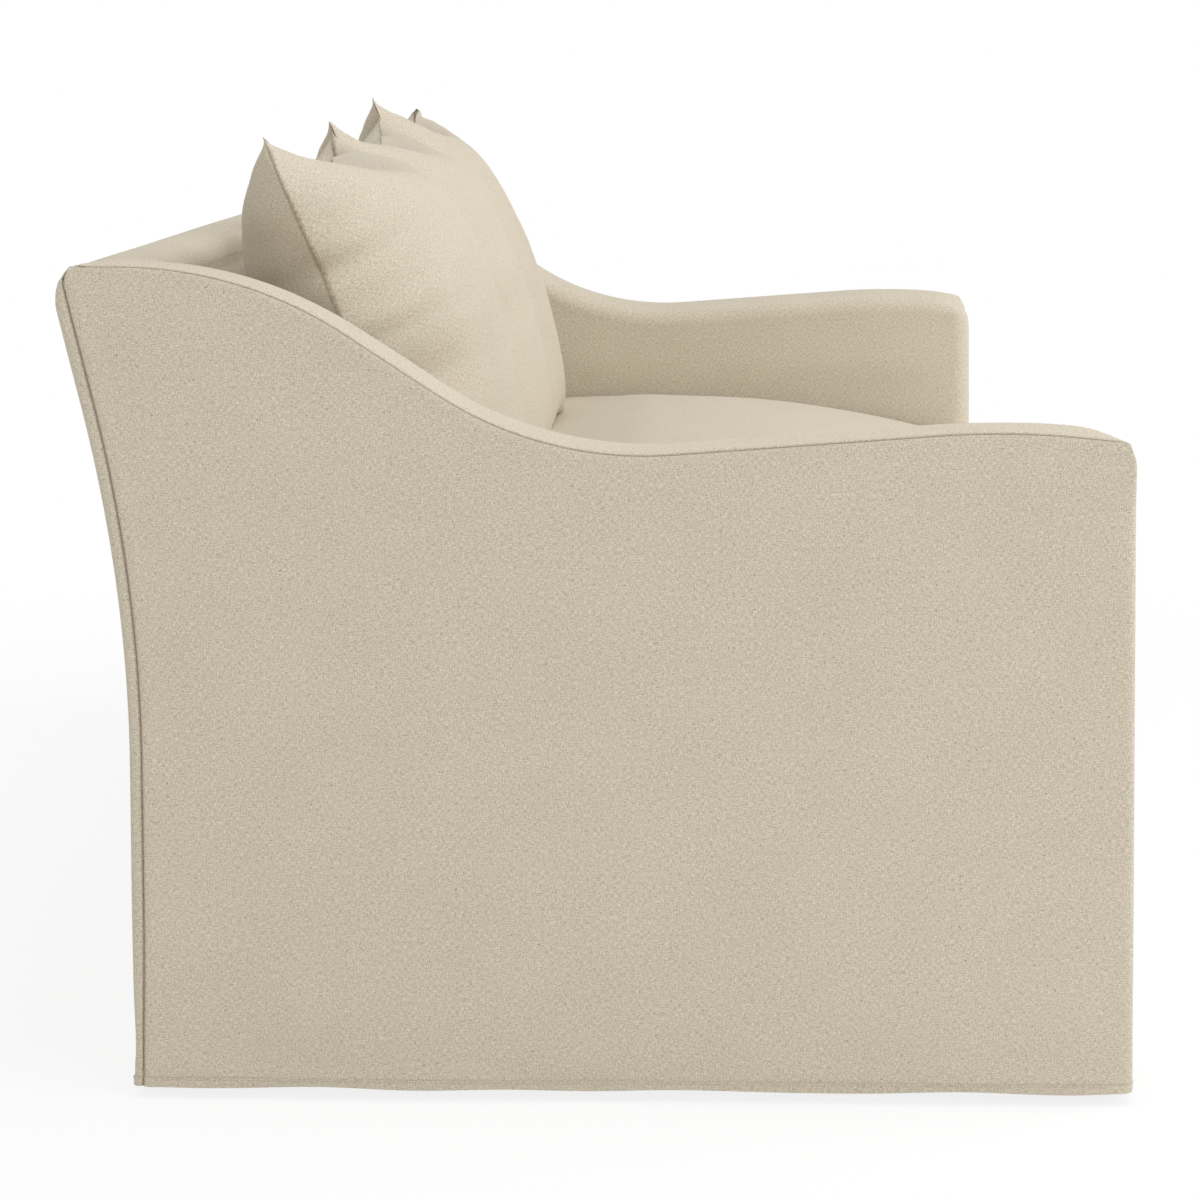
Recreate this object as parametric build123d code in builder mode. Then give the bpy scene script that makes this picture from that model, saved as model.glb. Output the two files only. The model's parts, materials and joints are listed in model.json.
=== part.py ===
"""Slipcovered sofa: a padded wooden frame with sloping arms, sinuous seat springs and a loose cover,
a bench seat cushion that slides out and three back cushions that lift off.

Millimetres. X runs along the sofa, -Y is its front, Z rises from the floor, and the origin is on the
floor under the middle of the sofa. Left is the -X end, as seen by someone facing the front.
"""
import os
from math import asin, atan2, hypot, radians, tan

from build123d import *

# Overall size
overall_width = 2134.0
overall_depth = 1038.0
back_height = 801.5
arm_height = 660.5
arm_thickness = 120.0
hem_clearance = 12.0

# Side outline: corners are placed from the front or the back, and each curve starts its ease from its corner
front_flare = 11.0
front_drop = 12.0
front_corner_radius = 28.0
crest_setback = 131.0
crest_ease = 70.0
dip_drop = 33.0
dip_setback = 464.0
dip_ease = 122.0
shoulder_setback = 180.0
shoulder_ease = 116.0
back_corner_radius = 34.0
waist_height = 416.0
waist_setback = 63.0
waist_ease = 115.0
hem_setback = 58.0
below_floor = 100.0

# Inside of the back
back_top_thickness = 99.0
back_rake = 10.9

# Cloth, padding and boards
cover = 2.0
padding = 18.0
arm_batting = 8.0
arm_panel = 18.0
lining_board = 5.0
back_board = 3.0
arm_edge_round = 18.0
rear_edge_round = 22.0
rear_edge_return = 2.0
apron_recess = 18.0
deck_padding = 26.0

# Wooden frame
foot_height = 99.0
foot_top = 58.0
foot_bevel = 7.0
glide_height = 6.0
glide_width = 36.0
glide_corner = 5.0
rail_height = 180.0
rail_thickness = 32.0
front_rail_setback = 10.0
front_post_depth = 60.0
rear_post_depth = 75.0
arm_rail_depth = 45.0
top_rail_height = 80.0
top_rail_thickness = 54.0
tack_rail_height = 60.0
tack_rail_bottom = 345.0
upright_width = 60.0
upright_spacing = 640.0
spring_rail_height = 60.0
spring_rail_width = 42.0
stretcher_width = 40.0
stretcher_spacing = 640.0
corner_block_leg = 85.0
corner_block_margin = 20.0

# Springs and webbing
spring_count = 7
spring_pitch = 250.0
spring_turns = 8
spring_bar = 44.0
spring_loop = 11.0
spring_bend = 15.0
spring_wire = 4.0
tie_wire = 3.0
tie_wire_spacing = 350.0
clip_gauge = 1.6
clip_width = 34.0
clip_depth = 14.0
strap_count = 9
strap_pitch = 205.0
strap_width = 60.0
strap_thickness = 2.5

# Loose cushions
cushion_gap = 0.6
rest_gap = 0.3
core_gap = 0.3
seat_seam_height = 122.0
seat_rest_height = 181.0
seat_rest_slope = 9.7
seat_rest_front = 108.0
seat_front_overhang = 6.0
seat_front_bulge = 9.0
seat_crown = 40.0
seat_crown_power = 4
seat_stations = 9
seat_end_crown = 20.0
seat_end_draw = 9.0
seat_core_margin = 34.0
seat_core_height = 84.0
back_cushion_count = 3
back_cushion_height = 444.0
back_cushion_sag = 16.0
back_cushion_corner_y = 334.0
back_cushion_seam_foot_y = 165.0
back_cushion_front_foot_y = 116.0
back_cushion_front_bulge = 108.0
back_cushion_rest_height = 285.0
back_cushion_rear_bulge = 12.0
back_cushion_edge = 75.0
back_cushion_end_bulge = 55.0
back_cushion_face_bulge = 65.0
back_cushion_rest_bulge = 110.0
back_core_share = 0.55
back_core_margin = 30.0
back_core_end = 118.0
back_core_top = 70.0

# Fit between a pin and its hole
hole_clearance = 0.1

# Levels and planes that the sizes above give
front_y = -overall_depth / 2
back_y = overall_depth / 2
end_x = -overall_width / 2
inner_x = end_x + arm_thickness
frame_inset = cover + padding
frame_front_y = front_y + front_flare + frame_inset
panel_x = end_x + cover + arm_batting
member_x = panel_x + arm_panel
pad_x = inner_x - frame_inset
board_x = pad_x - lining_board
rail_bottom = glide_height + foot_height
rail_top = rail_bottom + rail_height
deck_bottom = rail_top + 2 * clip_gauge + spring_wire + 2 * hole_clearance
deck_top = deck_bottom + deck_padding + cover
rear_top_z = back_height - back_corner_radius
rear_zone_y = back_y - shoulder_setback - back_top_thickness
rear_edge = rear_edge_round + rear_edge_return
pad_bevel = arm_edge_round - 2 * cover
rear_bevel = rear_edge_round - 2 * cover
tall = 2 * back_height
wide = 2 * overall_depth

os.makedirs("parts", exist_ok=True)


def save(piece, name):
    """Labels a finished piece and writes it."""
    piece.part.label = name
    export_step(piece.part, f"parts/{name}.step")


def save_pair(piece, name):
    """Writes a left-hand piece and its mirror image at the right-hand end."""
    save(piece, f"{name}_left")
    with BuildPart() as other:
        add(mirror(piece.part, about=Plane.YZ, mode=Mode.PRIVATE))
    save(other, f"{name}_right")


# Regions of the side view: sketches whose own X is the sofa's Y and whose own Y is its Z

def blend_radius(before, corner, after, ease):
    """Radius of the arc that leaves both sides of a corner at the distance ease from it."""
    turn = (Vector(*corner) - Vector(*before)).get_angle(Vector(*after) - Vector(*corner))
    return ease / tan(radians(turn / 2))


def rear_top_corner(waist):
    """Sharp corner whose rounding just reaches the overall depth and the back's height."""
    run = back_y - back_corner_radius - waist[0]
    rise = rear_top_z - waist[1]
    lean = atan2(run, rise) + asin(back_corner_radius / hypot(run, rise))
    return (waist[0] + (back_height - waist[1]) * tan(lean), back_height)


def side_outline(inset, flare):
    """The whole sofa from the side, taken in by inset and running on below the floor to be trimmed."""
    front_top = (front_y + front_flare, arm_height - front_drop)
    reach = flare * (front_top[1] + below_floor) / (front_top[1] - hem_clearance)
    front_low = (front_top[0] - reach, -below_floor)
    crest = (front_y + crest_setback, arm_height)
    dip = (back_y - dip_setback, arm_height - dip_drop)
    shoulder = (back_y - shoulder_setback, back_height)
    waist = (back_y - waist_setback, waist_height)
    rear_top = rear_top_corner(waist)
    hem_back = (back_y - hem_setback, -below_floor)
    radii = [
        front_corner_radius,
        blend_radius(front_top, crest, dip, crest_ease),
        blend_radius(crest, dip, shoulder, dip_ease),
        blend_radius(dip, shoulder, rear_top, shoulder_ease),
        back_corner_radius,
        blend_radius(rear_top, waist, hem_back, waist_ease),
    ]
    with BuildSketch() as outline:
        with BuildLine():
            path = FilletPolyline(
                front_low, front_top, crest, dip, shoulder, rear_top, waist, hem_back, radius=radii
            )
            Line(path @ 1, path @ 0)
        make_face()
        if inset:
            offset(amount=-inset, kind=Kind.INTERSECTION)
    return outline.sketch


def window(low_y, high_y, low_z, high_z, mode=Mode.INTERSECT):
    """Keeps, or cuts away, a rectangle of the sketch being made."""
    with Locations(((low_y + high_y) / 2, (low_z + high_z) / 2)):
        Rectangle(high_y - low_y, high_z - low_z, mode=mode)


def above(bottom):
    """Keeps what is above a height."""
    window(-wide, wide, bottom, bottom + tall)


def shifted(region, y, z):
    """A region moved in the side view."""
    return region.moved(Location((y, z, 0)))


def rear_band(region, near, far):
    """Strip along the rear of an outline, from near to far in front of it."""
    with BuildSketch() as band:
        add(shifted(region, -near, 0))
        add(shifted(region, -far, 0), mode=Mode.SUBTRACT)
        window(rear_zone_y, wide, -tall, tall)
    return band.sketch


def back_face_y(z):
    """Front face of the inside back at a height."""
    return back_y - back_top_thickness + (z - back_height) * tan(radians(back_rake))


def behind_back(depth):
    """All that lies behind the inside back's front face by depth or more."""
    low = -tall
    with BuildSketch() as region:
        Polygon(
            (back_face_y(low) + depth, low), (wide, low), (wide, tall), (back_face_y(tall) + depth, tall)
        )
    return region.sketch


cover_outline = side_outline(0, front_flare)
lining_outline = side_outline(cover, front_flare)
apron_outline = side_outline(apron_recess, front_flare)
apron_lining = side_outline(frame_inset, front_flare)
frame_outline = side_outline(frame_inset, 0)
rear_post_region = rear_band(frame_outline, 0, rear_post_depth)


# Wooden frame: the arms

with BuildPart() as arm_side:
    with BuildSketch(Plane.YZ.offset(panel_x)):
        add(frame_outline)
        above(rail_bottom)
    extrude(amount=arm_panel)
save_pair(arm_side, "arm_panel")

with BuildPart() as arm_rail:
    with BuildSketch(Plane.YZ.offset(member_x)):
        add(frame_outline)
        add(shifted(frame_outline, 0, -arm_rail_depth), mode=Mode.SUBTRACT)
        add(rear_post_region, mode=Mode.SUBTRACT)
        window(-wide, rear_zone_y + rear_post_depth, rail_top, tall)
    extrude(amount=board_x - member_x)
save_pair(arm_rail, "arm_rail")

front_post_y = frame_front_y + front_post_depth / 2
rear_post_y = back_y - hem_setback - frame_inset - rear_post_depth / 2
post_x = (member_x + board_x) / 2

with BuildPart() as front_post:
    with BuildSketch(Plane.YZ.offset(member_x)):
        add(frame_outline)
        add(shifted(frame_outline, 0, -arm_rail_depth), mode=Mode.INTERSECT)
        window(frame_front_y, frame_front_y + front_post_depth, rail_bottom, tall)
    extrude(amount=board_x - member_x)
save_pair(front_post, "front_post")

with BuildPart() as rear_post:
    with BuildSketch(Plane.YZ.offset(member_x)):
        add(rear_post_region)
        above(rail_bottom)
    extrude(amount=board_x - member_x)
save_pair(rear_post, "rear_post")

with BuildPart() as side_rail:
    with BuildSketch(Plane.YZ.offset(member_x)):
        add(frame_outline)
        add(rear_post_region, mode=Mode.SUBTRACT)
        window(frame_front_y + front_post_depth, back_y, rail_bottom, rail_top)
    extrude(amount=board_x - member_x)
save_pair(side_rail, "side_rail")

with BuildPart() as arm_lining:
    with BuildSketch(Plane.YZ.offset(board_x)):
        add(frame_outline)
        add(rear_post_region, mode=Mode.SUBTRACT)
        above(rail_top)
    extrude(amount=lining_board)
save_pair(arm_lining, "arm_lining_board")


# Wooden frame: the seat

rail_span = -2 * board_x
front_rail_y = frame_front_y + front_rail_setback
front_rail_rear_y = front_rail_y + rail_thickness
front_rail_mid_y = front_rail_y + rail_thickness / 2
rail_mid_z = (rail_bottom + rail_top) / 2

with BuildPart() as front_rail:
    with Locations((0, front_rail_mid_y, rail_mid_z)):
        Box(rail_span, rail_thickness, rail_height)
save(front_rail, "front_seat_rail")

with BuildPart() as rear_rail:
    with BuildSketch(Plane.YZ.offset(board_x)):
        add(rear_band(frame_outline, 0, rail_thickness))
        window(-wide, wide, rail_bottom, rail_top)
    extrude(amount=rail_span)
    rear_rail_box = rear_rail.part.bounding_box()
    rear_rail_mid_y = rear_rail_box.max.Y - rail_thickness / 2
save(rear_rail, "rear_seat_rail")

spring_rail_front_y = back_face_y(deck_bottom) + cover
spring_rail_mid_y = spring_rail_front_y + spring_rail_width / 2
spring_rail_bottom = rail_top - spring_rail_height

with BuildPart() as spring_rail:
    with Locations((0, spring_rail_mid_y, rail_top - spring_rail_height / 2)):
        Box(rail_span, spring_rail_width, spring_rail_height)
save(spring_rail, "spring_rail")

with BuildPart() as stretchers:
    for side in (-1, 1):
        with BuildSketch(Plane.YZ.offset(side * stretcher_spacing / 2 - stretcher_width / 2)):
            add(frame_outline)
            add(rear_band(frame_outline, 0, rail_thickness), mode=Mode.SUBTRACT)
            window(front_rail_rear_y, back_y, rail_bottom, spring_rail_bottom)
        extrude(amount=stretcher_width)
save(stretchers, "seat_stretchers")

rear_rail_front_y = rear_rail_box.min.Y - hole_clearance
block_height = spring_rail_bottom - rail_bottom - corner_block_margin

with BuildPart() as corner_blocks:
    with BuildSketch(Plane.XY.offset(rail_bottom + corner_block_margin)):
        for side in (-1, 1):
            corner_x = side * board_x
            Polygon(
                (corner_x, front_rail_rear_y),
                (corner_x + side * corner_block_leg, front_rail_rear_y),
                (corner_x, front_rail_rear_y + corner_block_leg),
            )
            Polygon(
                (corner_x, rear_rail_front_y),
                (corner_x + side * corner_block_leg, rear_rail_front_y),
                (corner_x, rear_rail_front_y - corner_block_leg),
            )
    extrude(amount=block_height)
save(corner_blocks, "corner_blocks")


# Wooden frame: the back

with BuildPart() as top_rail:
    with BuildSketch(Plane.YZ.offset(board_x)):
        add(rear_band(frame_outline, 0, top_rail_thickness))
        above(back_height - frame_inset - top_rail_height)
    extrude(amount=rail_span)
save(top_rail, "back_top_rail")

with BuildPart() as tack_rail:
    with BuildSketch(Plane.YZ.offset(board_x)):
        add(rear_band(frame_outline, rail_thickness, top_rail_thickness))
        window(-wide, wide, tack_rail_bottom, tack_rail_bottom + tack_rail_height)
    extrude(amount=rail_span)
save(tack_rail, "back_tack_rail")

with BuildPart() as uprights:
    for side in (-1, 1):
        with BuildSketch(Plane.YZ.offset(side * upright_spacing / 2 - upright_width / 2)):
            add(rear_band(frame_outline, 0, rail_thickness))
            window(-wide, wide, rail_top, back_height - frame_inset - top_rail_height)
        extrude(amount=upright_width)
save(uprights, "back_uprights")

with BuildPart() as webbing:
    strap_top = back_height - frame_inset - back_corner_radius
    for index in range(strap_count):
        strap_mid_x = (index - (strap_count - 1) / 2) * strap_pitch
        with BuildSketch(Plane.YZ.offset(strap_mid_x - strap_width / 2)):
            add(rear_band(frame_outline, top_rail_thickness, top_rail_thickness + strap_thickness))
            window(-wide, wide, tack_rail_bottom, strap_top)
        extrude(amount=strap_width)
save(webbing, "back_webbing")


# Feet

foot_places = {
    "front_left": (post_x, front_post_y),
    "front_centre": (0, front_rail_mid_y),
    "front_right": (-post_x, front_post_y),
    "rear_left": (post_x, rear_post_y),
    "rear_centre": (0, rear_rail_mid_y),
    "rear_right": (-post_x, rear_post_y),
}

for place, (foot_x, foot_y) in foot_places.items():
    with BuildPart() as foot:
        with BuildSketch(Plane.XY.offset(rail_bottom)):
            with Locations((foot_x, foot_y)):
                Rectangle(foot_top, foot_top)
        extrude(amount=-foot_height)
        chamfer(faces().sort_by(Axis.Z)[0].edges(), foot_bevel)
    save(foot, f"foot_{place}")

with BuildPart() as glides:
    with Locations([(x, y, glide_height / 2) for x, y in foot_places.values()]):
        Box(glide_width, glide_width, glide_height)
    chamfer(glides.edges().filter_by(Axis.Z), glide_corner)
save(glides, "foot_glides")

with BuildPart() as dust_cover:
    dust_front = front_rail_y
    dust_depth = rear_rail_front_y - dust_front
    with Locations((0, dust_front + dust_depth / 2, rail_bottom - cover / 2)):
        Box(rail_span, dust_depth, cover)
    with Locations((0, front_rail_mid_y, rail_bottom), (0, rear_rail_mid_y, rail_bottom)):
        Box(foot_top, foot_top, 2 * cover, mode=Mode.SUBTRACT)
save(dust_cover, "dust_cover")


# Seat springs: one zigzag wire each, hooked in a folded clip at both ends

wire_z = rail_top + clip_gauge + hole_clearance + spring_wire / 2
spring_start_y = front_rail_mid_y
spring_end_y = spring_rail_mid_y
turn_pitch = (spring_end_y - spring_start_y) / spring_turns
spring_places = [(index - (spring_count - 1) / 2) * spring_pitch for index in range(spring_count)]

spring_points = []
for index in range(spring_turns + 1):
    side = 1 if index % 2 == 0 else -1
    bar_y = spring_start_y + index * turn_pitch
    spring_points += [(-side * spring_bar / 2, bar_y), (side * spring_bar / 2, bar_y)]
    if index < spring_turns:
        loop_x = side * (spring_bar / 2 + spring_loop)
        spring_points += [(loop_x, bar_y + spring_bend), (loop_x, bar_y + turn_pitch - spring_bend)]

with BuildPart() as spring:
    with BuildLine(Plane.XY.offset(wire_z)) as spring_path:
        Polyline(*spring_points)
    with BuildSketch(Plane(origin=spring_path.line @ 0, z_dir=spring_path.line % 0)):
        Rectangle(spring_wire, spring_wire)
    sweep(transition=Transition.RIGHT)

with BuildPart() as springs:
    with Locations([(x, 0, 0) for x in spring_places]):
        add(spring.part)
save(springs, "seat_springs")

clip_slot = spring_wire + 2 * hole_clearance
clip_height = clip_slot + 2 * clip_gauge

with BuildPart() as clips:
    for clip_y, facing in ((spring_start_y, 1), (spring_end_y, -1)):
        slot_y = clip_y + facing * clip_gauge
        with Locations([(x, clip_y, rail_top + clip_height / 2) for x in spring_places]):
            Box(clip_width, clip_depth, clip_height)
        with Locations([(x, slot_y, rail_top + clip_height / 2) for x in spring_places]):
            Box(clip_width, clip_depth, clip_slot, mode=Mode.SUBTRACT)
save(clips, "spring_clips")

with BuildPart() as ties:
    tie_z = wire_z - spring_wire / 2 - tie_wire / 2 - hole_clearance
    tie_mid_y = (spring_start_y + spring_end_y) / 2
    tie_length = spring_places[-1] - spring_places[0] + spring_bar
    for side in (-1, 1):
        with Locations((0, tie_mid_y + side * tie_wire_spacing / 2, tie_z)):
            Box(tie_length, tie_wire, tie_wire)
save(ties, "spring_tie_wires")


# Padding

with BuildPart() as outer_batting:
    with BuildSketch(Plane.YZ.offset(end_x + cover)):
        add(lining_outline)
        above(rail_bottom)
        with BuildSketch(mode=Mode.SUBTRACT):
            add(rear_band(cover_outline, 0, rear_edge))
            window(-wide, wide, -tall, rear_top_z)
    extrude(amount=arm_batting)
save_pair(outer_batting, "arm_batting")


def arm_form(start_x, stop_x, region, bottom, rear_overrun, rounding=0, bevel=0):
    """Arm in front of the inside back, between two planes, with its inner top and front edge eased."""
    with BuildPart() as form:
        with BuildSketch(Plane.YZ.offset(start_x)):
            add(region)
            add(behind_back(rear_overrun), mode=Mode.SUBTRACT)
            above(bottom)
        extrude(amount=stop_x - start_x)
        if rounding or bevel:
            inner_face = form.faces().sort_by(Axis.X)[-1]
            ends = inner_face.edges().filter_by(lambda edge: abs((edge % 0.5).Y) < abs((edge % 0.5).Z))
            rear = ends.sort_by(Axis.Y)[-1]
            lowest = inner_face.edges().sort_by(Axis.Z)[0]
            eased = [edge for edge in inner_face.edges() if edge not in (rear, lowest)]
            if rounding:
                fillet(eased, radius=rounding)
            else:
                chamfer(eased, bevel)
    return form.part


def clear_inside(low, high):
    """Cuts the inside of the arm away below the deck, behind the front."""
    with Locations(((low + inner_x) / 2, 0, high / 2)):
        Box(inner_x - low + cover, -2 * (frame_front_y + hole_clearance), high, mode=Mode.SUBTRACT)


with BuildPart() as arm_pad:
    add(arm_form(panel_x, inner_x - cover, lining_outline, rail_bottom, 0, bevel=pad_bevel))
    add(arm_form(panel_x, pad_x, frame_outline, 0, padding), mode=Mode.SUBTRACT)
    clear_inside(pad_x, rail_top)
save_pair(arm_pad, "arm_pad")

with BuildPart() as back_pad:
    with BuildSketch(Plane.YZ.offset(pad_x)):
        add(frame_outline)
        band_depth = top_rail_thickness + strap_thickness
        add(shifted(frame_outline, -band_depth, 0), mode=Mode.INTERSECT)
        add(behind_back(cover), mode=Mode.INTERSECT)
        above(deck_bottom)
    extrude(amount=-2 * pad_x)
    with BuildSketch(Plane.YZ.offset(panel_x)):
        add(lining_outline)
        add(frame_outline, mode=Mode.SUBTRACT)
        add(behind_back(cover), mode=Mode.INTERSECT)
        above(rear_top_z)
    extrude(amount=-2 * panel_x)
save(back_pad, "back_pad")

rear_layer_x = end_x + rear_edge

with BuildPart() as rear_batting:
    with BuildSketch(Plane.YZ.offset(rear_layer_x)):
        add(rear_band(cover_outline, cover, frame_inset - back_board))
        window(-wide, wide, rail_bottom, rear_top_z)
    extrude(amount=-2 * rear_layer_x)
save(rear_batting, "outside_back_batting")

with BuildPart() as rear_board:
    with BuildSketch(Plane.YZ.offset(rear_layer_x)):
        add(rear_band(cover_outline, frame_inset - back_board, frame_inset))
        window(-wide, wide, rail_bottom, rear_top_z)
    extrude(amount=-2 * rear_layer_x)
save(rear_board, "outside_back_board")

with BuildPart() as rail_pad:
    with BuildSketch(Plane.YZ.offset(inner_x)):
        add(apron_lining)
        window(-wide, front_rail_y, rail_bottom, deck_bottom)
    extrude(amount=-2 * inner_x)
save(rail_pad, "front_rail_pad")

deck_front_y = frame_front_y
deck_rear_y = back_face_y(deck_bottom) - rest_gap
deck_mid_y = (deck_front_y + deck_rear_y) / 2

with BuildPart() as deck_pad:
    with Locations((0, deck_mid_y, deck_bottom + deck_padding / 2)):
        Box(-2 * inner_x, deck_rear_y - deck_front_y, deck_padding)
save(deck_pad, "deck_pad")


# Slipcover

with BuildPart() as outside_arm:
    with BuildSketch(Plane.YZ.offset(end_x)):
        add(cover_outline)
        above(hem_clearance)
        with BuildSketch(mode=Mode.SUBTRACT):
            add(rear_band(cover_outline, 0, rear_edge))
            window(-wide, wide, -tall, rear_top_z)
    extrude(amount=cover)
save_pair(outside_arm, "outside_arm_cover")

with BuildPart() as arm_band:
    add(arm_form(end_x + cover, inner_x, cover_outline, hem_clearance, 0, rounding=arm_edge_round))
    hollow = arm_form(end_x + cover, inner_x - cover, lining_outline, 0, padding, bevel=pad_bevel)
    add(hollow, mode=Mode.SUBTRACT)
    clear_inside(inner_x - cover, rail_top)
save_pair(arm_band, "arm_cover")


def rear_form(near, far, side_x, bottom, rounding=0, bevel=0):
    """Slice along the rear of the sofa with its two upright rear edges eased."""
    with BuildPart() as form:
        with BuildSketch(Plane.YZ.offset(side_x)):
            add(rear_band(cover_outline, near, far))
            window(-wide, wide, bottom, rear_top_z)
        extrude(amount=-2 * side_x)
        rear_faces = form.faces().filter_by(lambda face: face.normal_at().Y > 0.5)
        end_edges = rear_faces.edges().filter_by(lambda edge: abs(edge.center().X) > -side_x - cover)
        if rounding:
            fillet(end_edges, radius=rounding)
        else:
            chamfer(end_edges, bevel)
    return form.part


with BuildPart() as outside_back:
    add(rear_form(0, rear_edge, end_x, hem_clearance, rounding=rear_edge_round))
    hollow = rear_form(cover, 2 * rear_edge, end_x + cover, 0, bevel=rear_bevel)
    add(hollow, mode=Mode.SUBTRACT)
save(outside_back, "outside_back_cover")

with BuildPart() as inside_back:
    with BuildSketch(Plane.YZ.offset(inner_x)):
        add(cover_outline)
        add(behind_back(0), mode=Mode.INTERSECT)
        add(behind_back(cover), mode=Mode.SUBTRACT)
        above(deck_bottom)
    extrude(amount=-2 * inner_x)
    with BuildSketch(Plane.YZ.offset(end_x + cover)):
        add(cover_outline)
        add(lining_outline, mode=Mode.SUBTRACT)
        add(behind_back(0), mode=Mode.INTERSECT)
        above(rear_top_z)
    extrude(amount=-2 * (end_x + cover))
save(inside_back, "inside_back_cover")

with BuildPart() as apron:
    with BuildSketch(Plane.YZ.offset(inner_x)):
        add(apron_outline)
        add(apron_lining, mode=Mode.SUBTRACT)
        window(-wide, frame_front_y + front_post_depth, hem_clearance, deck_top)
    extrude(amount=-2 * inner_x)
save(apron, "front_apron")

with BuildPart() as deck_cloth:
    with Locations((0, deck_mid_y, deck_top - cover / 2)):
        Box(-2 * inner_x, deck_rear_y - deck_front_y, cover)
save(deck_cloth, "deck_cover")


# Bench seat cushion: a foam core in a padded cover with a crowned top and drawn-in ends

seat_bottom = deck_top + rest_gap
seat_half = -inner_x - cushion_gap
seat_front_y = frame_front_y - cover - seat_front_overhang
seat_rear_y = back_face_y(seat_bottom) - cushion_gap
seat_depth = seat_rear_y - seat_front_y


def rest_point(y, lift):
    """Point on the seat's slope under the back cushions, raised by lift."""
    return (y, seat_bottom + seat_rest_height + lift - (y - seat_rest_front) * tan(radians(seat_rest_slope)))


def rest_end(lift):
    """Point where that slope comes close to the inside back."""
    level = rest_point(0, lift)[1]
    fall = tan(radians(seat_rest_slope)) * tan(radians(back_rake))
    return rest_point((back_face_y(level) - cushion_gap) / (1 + fall), lift)


def seat_section(x, crown, bulge):
    """Cross-section of the seat cushion: boxed front, crowned top, slope under the back cushions."""
    seam = seat_bottom + seat_seam_height
    rest_start = rest_point(seat_rest_front, 0)
    with BuildSketch(Plane.YZ.offset(x)) as section:
        with BuildLine():
            SagittaArc((seat_front_y, seat_bottom), (seat_front_y, seam), bulge)
            SagittaArc((seat_front_y, seam), rest_start, crown)
            Polyline(rest_start, rest_end(0), (seat_rear_y, seat_bottom), (seat_front_y, seat_bottom))
        make_face()
    return section.sketch


def seat_sections():
    """Sections from end to end, with the crown dying away towards the arms."""
    sections = []
    for index in range(seat_stations):
        reach = 2 * index / (seat_stations - 1) - 1
        swell = 1 - abs(reach) ** seat_crown_power
        crown = seat_end_crown + (seat_crown - seat_end_crown) * swell
        sections.append(seat_section(reach * seat_half, crown, seat_front_bulge * (1 + 2 * swell) / 3))
    return sections


def seat_core_block(gap):
    """Foam core, grown by gap for the hollow that holds it."""
    core_depth = seat_depth - 2 * seat_core_margin
    core_bottom = seat_bottom + (seat_seam_height - seat_core_height) / 2
    with BuildPart() as block:
        with Locations((0, seat_front_y + seat_depth / 2, core_bottom + seat_core_height / 2)):
            Box(2 * (seat_half - seat_core_margin + gap), core_depth + 2 * gap, seat_core_height + 2 * gap)
    return block.part


with BuildPart() as seat_cushion:
    loft(seat_sections(), ruled=True)
    draw_radius = (seat_depth ** 2 / 4 + seat_end_draw ** 2) / (2 * seat_end_draw)
    draw_x = seat_half + draw_radius - seat_end_draw
    with Locations((-draw_x, seat_front_y + seat_depth / 2, 0), (draw_x, seat_front_y + seat_depth / 2, 0)):
        Cylinder(draw_radius, tall, mode=Mode.SUBTRACT)
    add(seat_core_block(core_gap), mode=Mode.SUBTRACT)
save(seat_cushion, "seat_cushion")

with BuildPart() as seat_core:
    add(seat_core_block(0))
save(seat_core, "seat_cushion_core")


# Back cushions: a core in a padded knife-edge cover, flat where it rests on the seat and the back

cushion_width = (-2 * inner_x - (back_cushion_count + 1) * cushion_gap) / back_cushion_count
cushion_half = cushion_width / 2
seam_lean = (back_cushion_corner_y - back_cushion_seam_foot_y) / back_cushion_height
seam_foot = rest_point(back_cushion_seam_foot_y, rest_gap)
cushion_rest_z = seam_foot[1] + back_cushion_rest_height
seam_rest = (back_cushion_seam_foot_y + seam_lean * back_cushion_rest_height, cushion_rest_z)
cushion_top = (back_cushion_corner_y, seam_foot[1] + back_cushion_height)


def towards(seam, surface, fullness):
    """Point between the seam's plane and the surface of the cushion."""
    return tuple(a + (b - a) * fullness for a, b in zip(seam, surface))


def back_cushion_corners(fullness):
    """Lower front, lower rear and upper rear corners of a cross-section."""
    rear_rest = (back_face_y(cushion_rest_z) - cushion_gap, cushion_rest_z)
    return (
        towards(seam_foot, rest_point(back_cushion_front_foot_y, rest_gap), fullness),
        towards(seam_foot, rest_end(rest_gap), fullness),
        towards(seam_rest, rear_rest, fullness),
    )


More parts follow.
